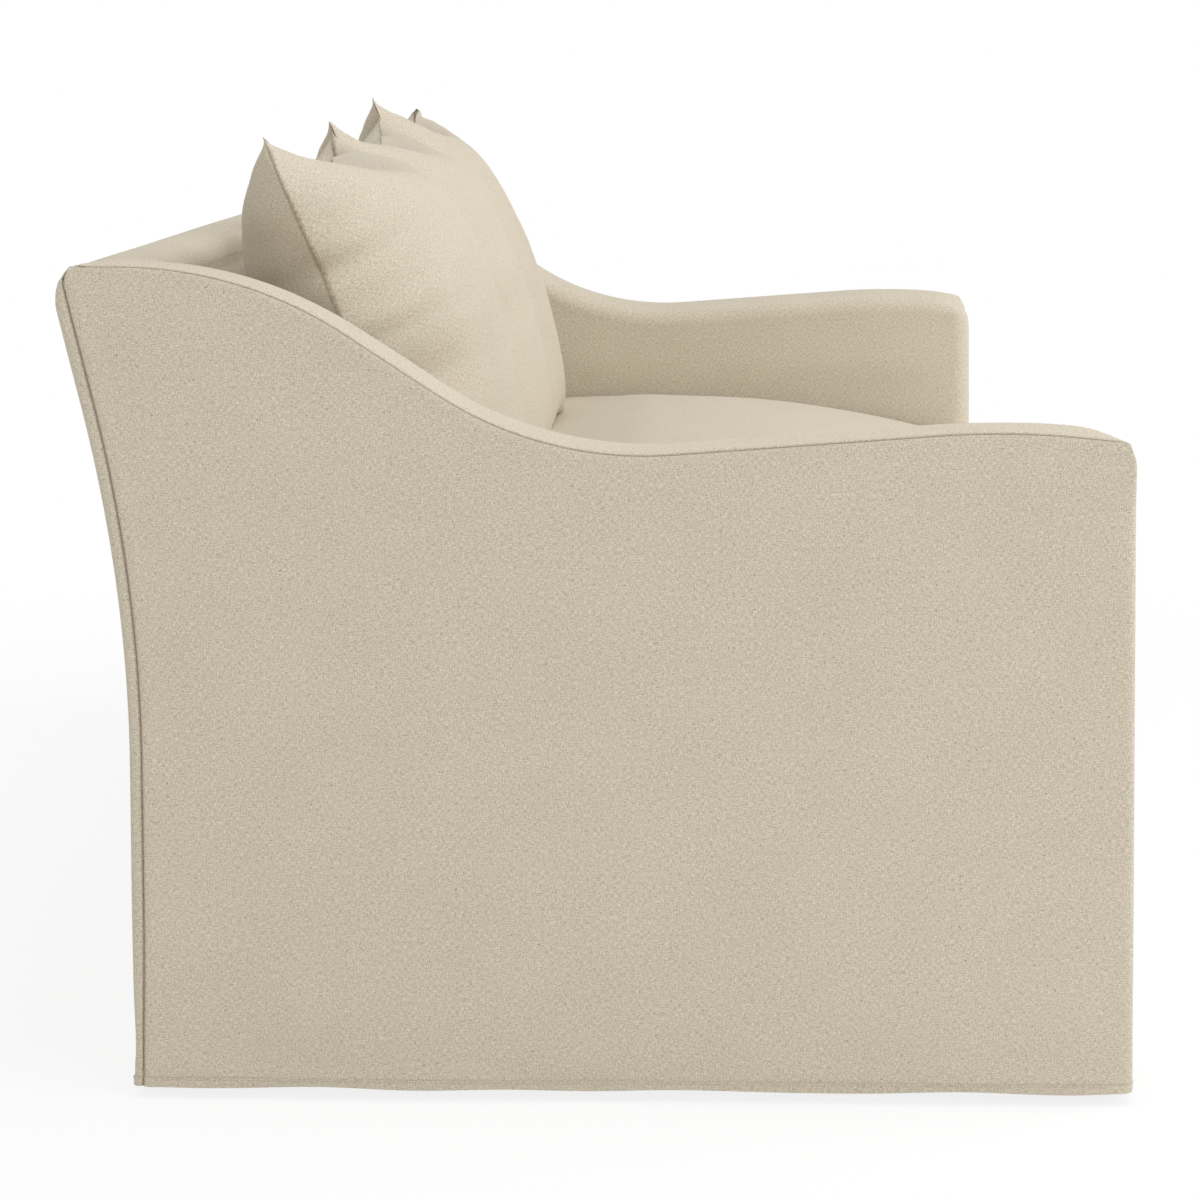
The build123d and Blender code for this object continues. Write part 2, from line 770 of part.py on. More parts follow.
def back_cushion_form():
    """Side section and plan of a back cushion, each run through the other, with a sagging top edge."""
    front_foot, rear_foot, rear_rest = back_cushion_corners(1)
    seam_line = Vector(0, *cushion_top) - Vector(0, *seam_foot)
    sag_radius = (cushion_half ** 2 + back_cushion_sag ** 2) / (2 * back_cushion_sag)
    with BuildPart() as form:
        with BuildSketch(Plane.YZ.offset(-cushion_half)):
            with BuildLine():
                SagittaArc(front_foot, cushion_top, back_cushion_front_bulge)
                SagittaArc(cushion_top, rear_rest, back_cushion_rear_bulge)
                Polyline(rear_rest, rear_foot, front_foot)
            make_face()
        extrude(amount=cushion_width)
        with BuildSketch(Plane(origin=(0, *seam_foot), x_dir=(1, 0, 0), z_dir=seam_line)):
            reach = cushion_half - back_cushion_end_bulge
            edge = back_cushion_edge
            sides = (
                ((-reach, -edge), (reach, -edge), back_cushion_face_bulge),
                ((reach, -edge), (reach, edge), back_cushion_end_bulge),
                ((reach, edge), (-reach, edge), back_cushion_rest_bulge),
                ((-reach, edge), (-reach, -edge), back_cushion_end_bulge),
            )
            with BuildLine():
                for start, stop, bulge in sides:
                    SagittaArc(start, stop, -bulge)
            make_face()
        extrude(amount=tall, both=True, mode=Mode.INTERSECT)
        with Locations((0, 0, cushion_top[1] - back_cushion_sag + sag_radius)):
            Cylinder(sag_radius, tall, rotation=(90, 0, 0), mode=Mode.SUBTRACT)
    return form.part


def back_core_block(gap):
    """Core of a back cushion, grown by gap for the hollow that holds it."""
    front_foot, rear_foot, rear_rest = back_cushion_corners(back_core_share)
    top = towards(seam_foot, cushion_top, 1 - back_core_top / back_cushion_height)
    half = cushion_half - back_core_end + gap
    with BuildPart() as block:
        with BuildSketch(Plane.YZ.offset(-half)):
            Polygon(front_foot, rear_foot, rear_rest, top)
            window(-wide, wide, seam_foot[1] + back_core_margin, tall)
            if gap:
                offset(amount=gap, kind=Kind.INTERSECTION)
        extrude(amount=2 * half)
    return block.part


with BuildPart() as back_cushion:
    add(back_cushion_form())
    add(back_core_block(core_gap), mode=Mode.SUBTRACT)

for index, place in enumerate(("left", "centre", "right")):
    cushion_x = (index - (back_cushion_count - 1) / 2) * (cushion_width + cushion_gap)
    with BuildPart() as placed_cushion:
        with Locations((cushion_x, 0, 0)):
            add(back_cushion.part)
    save(placed_cushion, f"back_cushion_{place}")
    with BuildPart() as placed_core:
        with Locations((cushion_x, 0, 0)):
            add(back_core_block(0))
    save(placed_core, f"back_cushion_core_{place}")
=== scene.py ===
"""Slipcovered sofa: linen cover, bench seat cushion and back cushions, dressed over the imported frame.

Metres. X runs along the sofa, -Y is its front and Z rises from the floor. The left end is at -X.
"""
import json
import math
from contextlib import contextmanager
from functools import reduce

import bmesh
import bpy
import numpy as np
from bpy.props import FloatProperty, FloatVectorProperty, IntProperty, PointerProperty
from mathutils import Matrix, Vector


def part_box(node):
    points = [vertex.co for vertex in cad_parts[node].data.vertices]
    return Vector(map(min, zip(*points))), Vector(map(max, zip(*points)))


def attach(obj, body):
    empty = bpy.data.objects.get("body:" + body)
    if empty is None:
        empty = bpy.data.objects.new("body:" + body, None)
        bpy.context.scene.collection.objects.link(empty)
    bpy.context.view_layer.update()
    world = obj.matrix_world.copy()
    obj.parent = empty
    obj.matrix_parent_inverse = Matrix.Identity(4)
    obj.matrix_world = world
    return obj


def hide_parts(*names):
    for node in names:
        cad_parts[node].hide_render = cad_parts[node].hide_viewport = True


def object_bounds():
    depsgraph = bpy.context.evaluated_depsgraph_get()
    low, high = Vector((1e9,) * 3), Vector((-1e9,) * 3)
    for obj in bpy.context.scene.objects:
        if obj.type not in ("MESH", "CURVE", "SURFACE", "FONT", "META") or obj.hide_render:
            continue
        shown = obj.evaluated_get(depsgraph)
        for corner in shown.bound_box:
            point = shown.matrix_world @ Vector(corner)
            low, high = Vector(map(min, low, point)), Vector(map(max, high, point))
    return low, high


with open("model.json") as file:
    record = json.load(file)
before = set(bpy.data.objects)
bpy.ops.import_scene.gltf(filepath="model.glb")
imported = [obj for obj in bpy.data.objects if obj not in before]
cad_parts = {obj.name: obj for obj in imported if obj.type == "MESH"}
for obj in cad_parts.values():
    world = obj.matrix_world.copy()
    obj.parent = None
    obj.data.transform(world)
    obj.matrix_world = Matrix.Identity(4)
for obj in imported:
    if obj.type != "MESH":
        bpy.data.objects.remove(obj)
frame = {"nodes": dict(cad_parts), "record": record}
cad_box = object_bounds()

bl_info = {
    "name": "Slipcovered sofa",
    "version": (1, 0, 0),
    "blender": (4, 5, 0),
    "location": "View3D > Sidebar > Sofa",
    "description": "Makes the linen slipcover, the cushions and the studio of a slipcovered sofa",
    "category": "Add Mesh",
}

# Places that the frame gives
PANEL_LOW, PANEL_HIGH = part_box("outside_arm_cover_left")
DECK_LOW, DECK_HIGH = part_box("deck_cover")
DUST_LOW, DUST_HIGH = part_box("dust_cover")
SEAT_LOW, SEAT_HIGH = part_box("seat_cushion")
END_X = PANEL_LOW[0]
INNER_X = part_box("arm_cover_left")[1][0]
FRONT_Y = PANEL_LOW[1]
APRON_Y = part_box("front_apron")[0][1]
REAR_Y = cad_box[1][1]
HEM_Z = PANEL_LOW[2]
DECK_Z = DECK_HIGH[2]
# The cover lies this much above the solid's top of the back
BACK_LOFT = 0.012
BACK_TOP_Z = PANEL_HIGH[2] + BACK_LOFT

# Side outline of the cover: corners set back from the front or the rear, and how far each curve eases
FRONT_FLARE = 0.011
ARM_TOP = 0.6605
FRONT_DROP = 0.012
CREST_SETBACK = 0.131
DIP_DROP = 0.033
DIP_SETBACK = 0.464
SHOULDER_SETBACK = 0.180
WAIST_HEIGHT = 0.509
WAIST_SETBACK = 0.063
HEM_SETBACK = 0.060
FRONT_CORNER = 0.028
CREST_EASE = 0.070
DIP_EASE = 0.122
SHOULDER_EASE = 0.116
BACK_CORNER = 0.034
WAIST_EASE = 0.180
OUTLINE_STEP = 0.006

# Inside of the back
BACK_TOP_DEPTH = 0.099
BACK_RAKE = math.radians(10.9)

# The outside back begins where the outline tilts this much, and is past its rounding so many points on
REAR_SEAM_TILT = math.radians(26.4)
PAST_CORNER = 15
# The rear corner's turn: its least radius, and the share that it loses towards the hem, from a height
LEAST_TURN = 0.0015
REAR_HEM_LOSS = 0.18
REAR_HEM_RISE = 0.17
# The front corner's turn at the top of the arm, and where it begins to open below that
FRONT_TIP_ROUND = 0.003
FRONT_TIP_EASE = (0.012, 0.07)
# Hem: half the height of its step, then the length of its waves and dents and how far up they reach
HEM_EDGE = 0.0012
HEM_WAVE_LENGTH, HEM_WAVE_REACH = 0.42, 0.11
HEM_DENT_LENGTH, HEM_DENT_REACH = 0.15, 0.045
HEM_DENT_SHARE = 1.6
HEM_DENT_EASE = (0.008, 0.030)
# Strength of the painted shade along the hem's stitch line
PAINTED_HEM_SHADE = 0.42
# Pointed corners where seams meet: how far they spread, and how far they reach in Y and Z
EAR_SPREAD = 0.007
FRONT_EAR = 0.0030
SIDE_EAR = (0.0030, 0.0035)
BACK_EAR = np.array((0.0028, 0.0036))
# The arm's top corner falls away from its outer seam by this much, over this length
CORNER_FALL = 0.007
CORNER_SPREAD = 0.022

# Share of a seam's dip that each of two faces takes where they meet at a right angle
DIAGONAL = math.sqrt(0.5)
# Distances from a seam at which the cloth has points, and the spacing of its points further off
EDGE_DISTANCES = np.array(
    [0.0, 0.0010, 0.0020, 0.0032, 0.0048, 0.0064, 0.0076, 0.0085, 0.0094, 0.0108, 0.0140, 0.0200, 0.0280])
PANEL_STEP = 0.011
STRIP_STEP = 0.013
BACK_STEP = 0.0065
BACK_TOP_STEP = 0.008
APRON_STEP = 0.012
SEAT_STEP = 0.0105
PILLOW_STEP = 0.0065
# Places on the bolt of cloth from which the panels are cut, so that their weave differs
ARM_INSIDE_CUT = 2.0
OUTSIDE_BACK_CUT = 3.0
BACK_TOP_CUT = 5.0
INSIDE_BACK_CUT = 7.0
APRON_CUT = 9.0
# Rounding of the apron's top edge, and how far it goes back over the deck
APRON_FOLD = 0.012
APRON_RETURN = 0.07


# Sizes and colours that a user would change

def length_property(name, description, default):
    return FloatProperty(name=name, description=description, default=default, unit="LENGTH")


def colour_property(name, description, default):
    return FloatVectorProperty(
        name=name, description=description, default=default, subtype="COLOR", size=3, min=0, max=1)


class SofaCoverSizes(bpy.types.PropertyGroup):
    """Edges, seams and hem of the slipcover."""

    edge_round: length_property("Inner edge", "Rounding of the arm's and back's inner top edges", 0.026)
    rear_round: length_property("Rear corner", "Turn of the outside back round the rear corners", 0.0138)
    front_round: length_property("Front corner", "Turn of the outside arm round its front edge", 0.011)
    seam_depth: length_property("Seam depth", "How far the cloth dips into a seam", 0.0028)
    seam_width: length_property("Seam width", "Cloth on each side that dips", 0.0042)
    seam_ridge: length_property("Seam ridge", "Height of the allowance under the cloth", 0.0010)
    hem_depth: length_property("Hem depth", "Height of the turned hem", 0.0085)
    hem_step: length_property("Hem step", "How far the turned hem stands proud", 0.0014)
    hem_wave: length_property("Hem wave", "Loose wave of the skirt near the floor", 0.0035)
    slack: length_property("Slack", "Gentle unevenness of the fitted cloth", 0.0012)
    arm_crown: length_property("Arm crown", "Padding that lifts the arm's top", 0.004)
    thickness: length_property("Cloth", "Thickness of the linen", 0.0011)
    stitch_length: length_property("Stitch", "Length of a hem stitch", 0.0038)
    stitch_gap: length_property("Stitch pitch", "Distance from stitch to stitch", 0.0056)
    thread: length_property("Thread", "Thickness of the hem thread", 0.0007)


class SofaCushionSizes(bpy.types.PropertyGroup):
    """Filling of the loose cushions."""

    pressure: FloatProperty(name="Pressure", description="Pressure that fills the cushions", default=3.0)
    frames: IntProperty(name="Frames", description="Steps of the cloth simulation", default=17)
    evening: IntProperty(
        name="Evening", description="How often the filling smooths the cloth's buckles", default=8)
    pucker: length_property("Puckers", "Depth of the small folds along the cushions' seams", 0.0038)
    seat_cap: length_property("Seat swell", "Furthest that the seat cushion swells", 0.010)
    clearance: length_property("Clearance", "Gap between a cushion and what it rests on", 0.0008)


class SofaColours(bpy.types.PropertyGroup):
    """Colours of the finishes."""

    linen: colour_property("Linen", "Oatmeal linen of the cover and cushions", (0.615, 0.550, 0.436))
    fleck: colour_property("Flecks", "Dark flecks of flax in the yarn", (0.235, 0.170, 0.100))
    lining: colour_property("Lining", "Cotton of the deck and the dust cover", (0.62, 0.58, 0.50))
    hardwood: colour_property("Hardwood", "Planed wood of the frame", (0.50, 0.34, 0.19))
    stain: colour_property("Foot stain", "Dark stain of the feet", (0.070, 0.038, 0.020))


def cover_sizes():
    return bpy.context.scene.sofa_cover


def cushion_sizes():
    return bpy.context.scene.sofa_cushions


def colours():
    return bpy.context.scene.sofa_colours


# Paths and grids

def unit(vector):
    return vector / np.linalg.norm(vector)


def turn_of(before, corner, after):
    """Signed turn of a path at a corner, left positive."""
    a, b = corner - before, after - corner
    return math.atan2(a[0] * b[1] - a[1] * b[0], a @ b)


def ease_of(radius, corners):
    """How far before the middle one of three corners an arc of a radius starts."""
    return radius * math.tan(abs(turn_of(*np.array(corners))) / 2)


def rounded_path(corners, eases):
    """Path through corners, each rounded by the arc that starts its ease before the corner."""
    corners = [np.array(c, float) for c in corners]
    points = [corners[0]]
    for before, corner, after, ease in zip(corners, corners[1:], corners[2:], eases):
        turn = turn_of(before, corner, after)
        start = corner - unit(corner - before) * ease
        radius = ease / math.tan(abs(turn) / 2)
        heading = unit(corner - before)
        centre = start + np.array((-heading[1], heading[0])) * math.copysign(radius, turn)
        steps = max(6, int(abs(turn) * radius / OUTLINE_STEP))
        for angle in np.linspace(0, turn, steps + 1):
            c, s = math.cos(angle), math.sin(angle)
            x, y = start - centre
            points.append(centre + np.array((c * x - s * y, s * x + c * y)))
    points.append(corners[-1])
    return np.array(points)


def lengths(path):
    """Distance along a path at each of its points."""
    return np.concatenate(([0], np.cumsum(np.linalg.norm(np.diff(path, axis=0), axis=1))))


def carried(path, values, shares):
    """Values given at a path's points, read at shares of its length."""
    run = lengths(path)
    return np.stack([np.interp(np.asarray(shares) * run[-1], run, column) for column in values.T], -1)


def along(path, shares):
    """Points at shares of a path's length."""
    return carried(path, path, shares)


def spaced(length, step, dense_start=True, dense_end=True):
    """Shares of a length, closer together at the ends that carry a seam."""
    first = EDGE_DISTANCES if dense_start else np.zeros(1)
    last = length - EDGE_DISTANCES[::-1] if dense_end else np.full(1, length)
    middle = np.linspace(first[-1], last[0], max(2, int((last[0] - first[-1]) / step) + 1))[1:-1]
    return np.concatenate((first, middle, last)) / length


def outward_of(path):
    """Outward normals of a path that has its outside on its left."""
    heading = np.gradient(path, axis=0)
    heading /= np.linalg.norm(heading, axis=1)[:, None]
    return np.stack((-heading[:, 1], heading[:, 0]), -1)


def raised(path, out, lift):
    """Rows of points at lifts from each point of a path, along its outward normals."""
    return path[:, None] + out[:, None] * lift[..., None]


def paired(a, b):
    """Grid of pairs from a row and a column, or from whole grids."""
    return np.stack(np.broadcast_arrays(a, b), -1)


def coons(bottom, top, left, right, u, v):
    """Surface between four boundary paths, as rows of points from bottom to top."""
    b, t = along(bottom, u)[None], along(top, u)[None]
    l, r = along(left, v)[:, None], along(right, v)[:, None]
    u, v = u[None, :, None], v[:, None, None]
    corners = ((1 - u) * (1 - v) * bottom[0] + u * (1 - v) * bottom[-1]
               + (1 - u) * v * top[0] + u * v * top[-1])
    return (1 - v) * b + v * t + (1 - u) * l + u * r - corners


def smooth(value, low, high):
    """Smooth step from 0 at low to 1 at high."""
    share = np.clip((np.asarray(value, float) - low) / (high - low), 0, 1)
    return share * share * (3 - 2 * share)


def ripple(points, wavelength, seed):
    """Even, repeatable unevenness between about -1 and 1, from a few crossing waves."""
    random = np.random.RandomState(seed)
    total = np.zeros(points.shape[:-1])
    for _ in range(6):
        direction = random.normal(size=points.shape[-1])
        direction *= 2 * math.pi / (wavelength * random.uniform(0.7, 1.6) * np.linalg.norm(direction))
        total += np.sin(points @ direction + random.uniform(0, 2 * math.pi))
    return total / 3


def dip(distance):
    """How far the cloth sinks at a distance from a seam, with the low ridge beside it."""
    sizes = cover_sizes()
    groove = np.clip(1 - distance / sizes.seam_width, 0, 1) ** 2
    ridge = np.exp(-((distance - 2.2 * sizes.seam_width) / sizes.seam_width) ** 2)
    return sizes.seam_depth * groove - sizes.seam_ridge * ridge


def painted_seam_shade(*distances):
    """Painted shade in a seam's groove: 1 in the seam, fading to 0 beside it."""
    nearest = np.minimum.reduce(distances)
    return np.clip(1 - nearest / (0.55 * cover_sizes().seam_width), 0, 1)


# Side outline of the sofa

def back_face_y(z):
    """Front of the inside back at a height."""
    return REAR_Y - BACK_TOP_DEPTH + (z - BACK_TOP_Z) * math.tan(BACK_RAKE)


def rear_top_corner(waist):
    """Sharp corner whose rounding just reaches the rear and the top of the back."""
    run = REAR_Y - BACK_CORNER - waist[0]
    rise = BACK_TOP_Z - BACK_CORNER - waist[1]
    lean = math.atan2(run, rise) + math.asin(BACK_CORNER / math.hypot(run, rise))
    return (waist[0] + (BACK_TOP_Z - waist[1]) * math.tan(lean), BACK_TOP_Z)


def side_outline():
    """Outline from the front hem over the arm and the back to the rear hem, with outward normals."""
    waist = (REAR_Y - WAIST_SETBACK, WAIST_HEIGHT)
    corners = [
        (FRONT_Y, HEM_Z),
        (FRONT_Y + FRONT_FLARE, ARM_TOP - FRONT_DROP),
        (FRONT_Y + CREST_SETBACK, ARM_TOP),
        (REAR_Y - DIP_SETBACK, ARM_TOP - DIP_DROP),
        (REAR_Y - SHOULDER_SETBACK, BACK_TOP_Z),
        rear_top_corner(waist),
        waist,
        (REAR_Y - HEM_SETBACK, HEM_Z),
    ]
    front_ease = ease_of(FRONT_CORNER, corners[:3])
    rear_ease = ease_of(BACK_CORNER, corners[4:7])
    path = rounded_path(corners, [front_ease, CREST_EASE, DIP_EASE, SHOULDER_EASE, rear_ease, WAIST_EASE])
    count = int(lengths(path)[-1] / OUTLINE_STEP)
    path = along(path, np.linspace(0, 1, count + 1))
    return path, outward_of(path)


OUTLINE, OUTWARD = side_outline()
FRONT_CORNER_AT = int(np.argmax(OUTWARD[:, 1] > math.sin(math.radians(45))))
REAR_SEAM_AT = int(len(OUTLINE) - 1 - np.argmax(OUTWARD[::-1, 1] > math.cos(REAR_SEAM_TILT)))
ARM_END_AT = int(np.argmax(OUTLINE[:, 0] > back_face_y(BACK_TOP_Z)))


def rear_turn(path, out):
    """Radius of the rear corner along the outline, closing up at the top so that its seam runs straight."""
    low = smooth(HEM_Z + REAR_HEM_RISE - path[:, 1], 0, REAR_HEM_RISE)
    wanted = cover_sizes().rear_round * (1 - REAR_HEM_LOSS * low)
    facing = np.maximum(out @ OUTWARD[REAR_SEAM_AT + PAST_CORNER], 0.05)
    return np.clip(BACK_CORNER - (BACK_CORNER - wanted) / facing, LEAST_TURN, wanted)


def front_turn(z):
    """Radius of the arm's front edge, which closes up towards its top corner."""
    opened = smooth(ARM_TOP - FRONT_DROP - z, *FRONT_TIP_EASE)
    return FRONT_TIP_ROUND + (cover_sizes().front_round - FRONT_TIP_ROUND) * opened


def hem_effect(z, places, seed):
    """Outward shift of a skirt: a turned hem that stands proud and loose waves that die away upwards."""
    sizes = cover_sizes()
    height = z - HEM_Z
    hem = sizes.hem_step * (1 - smooth(height, sizes.hem_depth - HEM_EDGE, sizes.hem_depth + HEM_EDGE))
    wave = sizes.hem_wave * ripple(places, HEM_WAVE_LENGTH, seed) * np.exp(-height / HEM_WAVE_REACH)
    dents = np.minimum(0, ripple(places, HEM_DENT_LENGTH, seed + 1)) * smooth(height, *HEM_DENT_EASE)
    return hem + wave + HEM_DENT_SHARE * sizes.hem_wave * dents * np.exp(-height / HEM_DENT_REACH)


def painted_hem_shade(z):
    """Painted shade: a faint dark line where the hem is sewn."""
    return PAINTED_HEM_SHADE * np.exp(-((z - HEM_Z - cover_sizes().hem_depth - 0.0006) / 0.0011) ** 2)


# Meshes

def linked(name, data):
    """New object with its data, in the scene."""
    obj = bpy.data.objects.new(name, data)
    bpy.context.scene.collection.objects.link(obj)
    return obj


def plain_object(name, points, faces):
    """New object from points and faces."""
    mesh = bpy.data.meshes.new(name)
    mesh.from_pydata(points.tolist(), [], faces)
    return linked(name, mesh)


def quads_of(index):
    """Faces of a grid of vertex numbers."""
    return np.stack((index[:-1, :-1], index[:-1, 1:], index[1:, 1:], index[1:, :-1]), -1).reshape(-1, 4)


@contextmanager
def edited(mesh):
    """A mesh opened for editing, written back at the end."""
    work = bmesh.new()
    work.from_mesh(mesh)
    yield work
    work.to_mesh(mesh)
    work.free()


def cloth_object(name, grids, outward):
    """One object from grids of points, flat cloth coordinates and painted seam shade (for a cushion,
    distances from its seams), its faces turned outward.
    """
    mesh = bpy.data.meshes.new(name)
    points, faces, flats, shades = [], [], [], []
    for grid, flat, shade in grids:
        index = np.arange(grid[..., 0].size).reshape(grid.shape[:2]) + sum(len(p) for p in points)
        quads = quads_of(index)
        across, up = np.gradient(grid, axis=1), np.gradient(grid, axis=0)
        if (np.cross(across, up) * np.asarray(outward(grid), float)).sum() < 0:
            quads = quads[:, ::-1]
        points.append(grid.reshape(-1, 3))
        faces.append(quads)
        flats.append(flat.reshape(-1, 2))
        shades.append(np.broadcast_to(shade, grid.shape[:2]).reshape(-1))
    flats = np.concatenate(flats)
    mesh.from_pydata(np.concatenate(points).tolist(), [], np.concatenate(faces).tolist())
    layer = mesh.uv_layers.new(name="weave")
    corner_vertices = np.empty(len(mesh.loops), int)
    mesh.loops.foreach_get("vertex_index", corner_vertices)
    layer.data.foreach_set("uv", flats[corner_vertices].reshape(-1).astype(np.float32))
    # The seam attribute carries the painted seam shade; a cushion's holds distances from its seams until sew
    # turns them into painted shade
    seam = mesh.attributes.new("seam", "FLOAT", "POINT")
    seam.data.foreach_set("value", np.concatenate(shades).astype(np.float32))
    weld(mesh)
    return linked(name, mesh)


def weld(mesh):
    """Joins the grids of a mesh where they meet and shades it smooth."""
    with edited(mesh) as work:
        bmesh.ops.remove_doubles(work, verts=work.verts, dist=0.00002)
        bmesh.ops.dissolve_degenerate(work, edges=work.edges, dist=0.000005)
        for face in work.faces:
            face.smooth = True
        for edge in work.edges:
            edge.smooth = not edge.is_boundary


def thicken(obj):
    """Gives a cloth piece its thickness, on its inner side."""
    solid = obj.modifiers.new("Cloth thickness", "SOLIDIFY")
    solid.thickness = cover_sizes().thickness
    solid.offset = -1


def mirrored(obj, name):
    """Mirror image of a left-hand piece at the other end of the sofa."""
    mesh = obj.data.copy()
    mesh.name = name
    with edited(mesh) as work:
        for vertex in work.verts:
            vertex.co.x = -vertex.co.x
        bmesh.ops.reverse_faces(work, faces=work.faces)
    return linked(name, mesh)


def finish_cloth(obj, body, nodes):
    """Dresses a cover panel and ties it to the frame."""
    obj.data.materials.append(linen())
    thicken(obj)
    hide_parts(*nodes)
    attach(obj, body)


# Finishes

def node(tree, kind, inputs=None, **settings):
    """Adds a node with its settings, input values and links."""
    made = tree.nodes.new(kind)
    for key, value in settings.items():
        setattr(made, key, value)
    for key, value in (inputs or {}).items():
        if isinstance(value, bpy.types.NodeSocket):
            tree.links.new(value, made.inputs[key])
        else:
            made.inputs[key].default_value = value
    return made


def math_of(tree, operation, a, b):
    return node(tree, "ShaderNodeMath", {0: a, 1: b}, operation=operation).outputs[0]


def times(tree, a, b):
    return math_of(tree, "MULTIPLY", a, b)


def weighted(tree, *terms):
    """Sum of values, each times its own weight."""
    return reduce(lambda a, b: math_of(tree, "ADD", a, b), [times(tree, *term) for term in terms])


def tint(tree, factor, a, b, blend="MIX"):
    """Colour mixed from a to b by a factor."""
    return node(tree, "ShaderNodeMix", {0: factor, 6: a, 7: b}, data_type="RGBA", blend_type=blend).outputs[2]


def stretch(tree, source, scale, shift=(0, 0, 0)):
    return node(tree, "ShaderNodeMapping", {"Vector": source, "Scale": scale, "Location": shift}).outputs[0]


def grain(tree, vector, detail=2.0, roughness=0.55):
    """Noise between 0 and 1 at the scale of its coordinates."""
    return node(tree, "ShaderNodeTexNoise", {
        "Vector": vector, "Scale": 1.0, "Detail": detail, "Roughness": roughness}).outputs[0]


def between(tree, value, low, high):
    """0 below low, 1 above high."""
    return node(tree, "ShaderNodeMapRange", {
        "Value": value, "From Min": low, "From Max": high}, interpolation_type="SMOOTHSTEP").outputs[0]


def specks(tree, vector, size, share):
    """Scattered specks: a spot in some of the cells."""
    cells = node(tree, "ShaderNodeTexVoronoi", {"Vector": vector, "Scale": 1.0})
    spot = between(tree, cells.outputs["Distance"], size, size * 0.55)
    pick = node(tree, "ShaderNodeSeparateColor", {0: cells.outputs["Color"]}).outputs[0]
    return times(tree, spot, between(tree, pick, 1 - share, 1 - share + 0.05))


def start_material(name, roughness):
    """New material with its node tree and shader."""
    material = bpy.data.materials.new(name)
    material.use_nodes = True
    shader = material.node_tree.nodes["Principled BSDF"]
    shader.inputs["Roughness"].default_value = roughness
    return material, material.node_tree, shader


def bump(tree, shader, height, strength, distance):
    raised = node(tree, "ShaderNodeBump", {"Height": height, "Strength": strength, "Distance": distance})
    tree.links.new(raised.outputs[0], shader.inputs["Normal"])


def linen():
    """Oatmeal plain-weave linen: uneven yarns both ways, dark flecks, pale nubs, and painted shade in the
    seams and along the hem.
    """
    if "Oatmeal linen" in bpy.data.materials:
        return bpy.data.materials["Oatmeal linen"]
    material, tree, shader = start_material("Oatmeal linen", 0.92)
    shader.inputs["Specular IOR Level"].default_value = 0.18
    shader.inputs["Sheen Weight"].default_value = 0.10
    shader.inputs["Sheen Roughness"].default_value = 0.55
    flat = node(tree, "ShaderNodeUVMap", uv_map="weave").outputs[0]
    warp = grain(tree, stretch(tree, flat, (1050, 230, 1)), 1.0)
    weft = grain(tree, stretch(tree, flat, (240, 1000, 1), (7, 3, 0)), 1.0)
    fine = grain(tree, stretch(tree, flat, (900, 900, 1), (2, 9, 0)), 0.0)
    cloud = grain(tree, stretch(tree, flat, (11, 13, 1), (4, 1, 0)), 3.0)
    threads = times(tree, *(node(tree, "ShaderNodeTexWave", {
        "Vector": flat, "Scale": 210.0, "Distortion": 1.2, "Detail": 1.0}, bands_direction=way).outputs[1]
        for way in "XY"))
    relief = weighted(tree, (warp, 1.0), (weft, 1.0), (fine, 0.9))
    value = weighted(tree, (relief, 0.72), (cloud, 0.08), (threads, 0.05))
    value = math_of(tree, "ADD", value, -0.10)
    colour = tint(tree, 1.0, (*colours().linen, 1.0), value, "MULTIPLY")
    flecks = specks(tree, stretch(tree, flat, (150, 230, 1), (3, 5, 0)), 0.22, 0.16)
    colour = tint(tree, times(tree, flecks, 0.50), colour, (*colours().fleck, 1.0))
    nubs = specks(tree, stretch(tree, flat, (130, 260, 1), (8, 2, 0)), 0.24, 0.22)
    pale = tuple(min(1.0, 1.28 * c) for c in colours().linen)
    colour = tint(tree, times(tree, nubs, 0.5), colour, (*pale, 1.0))
    # Painted shade: the colour darkens towards this tone in the seams and along the hem's stitch line, by the
    # seam attribute
    seam = node(tree, "ShaderNodeAttribute", attribute_name="seam").outputs["Fac"]
    painted_shade_colour = tint(tree, 1.0, colour, (0.60, 0.56, 0.50, 1.0), "MULTIPLY")
    colour = tint(tree, seam, colour, painted_shade_colour)
    tree.links.new(colour, shader.inputs["Base Color"])
    bump(tree, shader, weighted(tree, (relief, 1.0), (threads, 0.8), (nubs, 1.0)), 0.42, 0.0009)
    return material


def woven(name, colour, pitch):
    """Plain woven cloth or strap on the object's own coordinates."""
    material, tree, shader = start_material(name, 0.94)
    place = node(tree, "ShaderNodeTexCoord").outputs["Object"]
    yarn = grain(tree, stretch(tree, place, (1 / pitch, 0.1 / pitch, 1 / pitch)), 2.0)
    cross = grain(tree, stretch(tree, place, (0.1 / pitch, 1 / pitch, 0.1 / pitch)), 2.0)
    relief = math_of(tree, "ADD", yarn, cross)
    value = math_of(tree, "ADD", times(tree, relief, 0.3), 0.7)
    tree.links.new(tint(tree, 1.0, (*colour, 1.0), value, "MULTIPLY"), shader.inputs["Base Color"])
    bump(tree, shader, relief, 0.3, 0.0008)
    return material


def timber(name, colour, roughness, along_axis):
    """Straight-grained wood, its figure running along one axis."""
    material, tree, shader = start_material(name, roughness)
    place = node(tree, "ShaderNodeTexCoord").outputs["Object"]
    scale = [70, 70, 70]
    scale[along_axis] = 3
    figure = grain(tree, stretch(tree, place, scale), 5.0, 0.6)
    pore = grain(tree, stretch(tree, place, [12 * s for s in scale]), 1.0)
    value = weighted(tree, (figure, 0.7), (pore, 0.25))
    dark = tuple(0.55 * c for c in colour)
    tree.links.new(tint(tree, value, (*dark, 1.0), (*colour, 1.0)), shader.inputs["Base Color"])
    bump(tree, shader, value, 0.2, 0.0006)
    return material


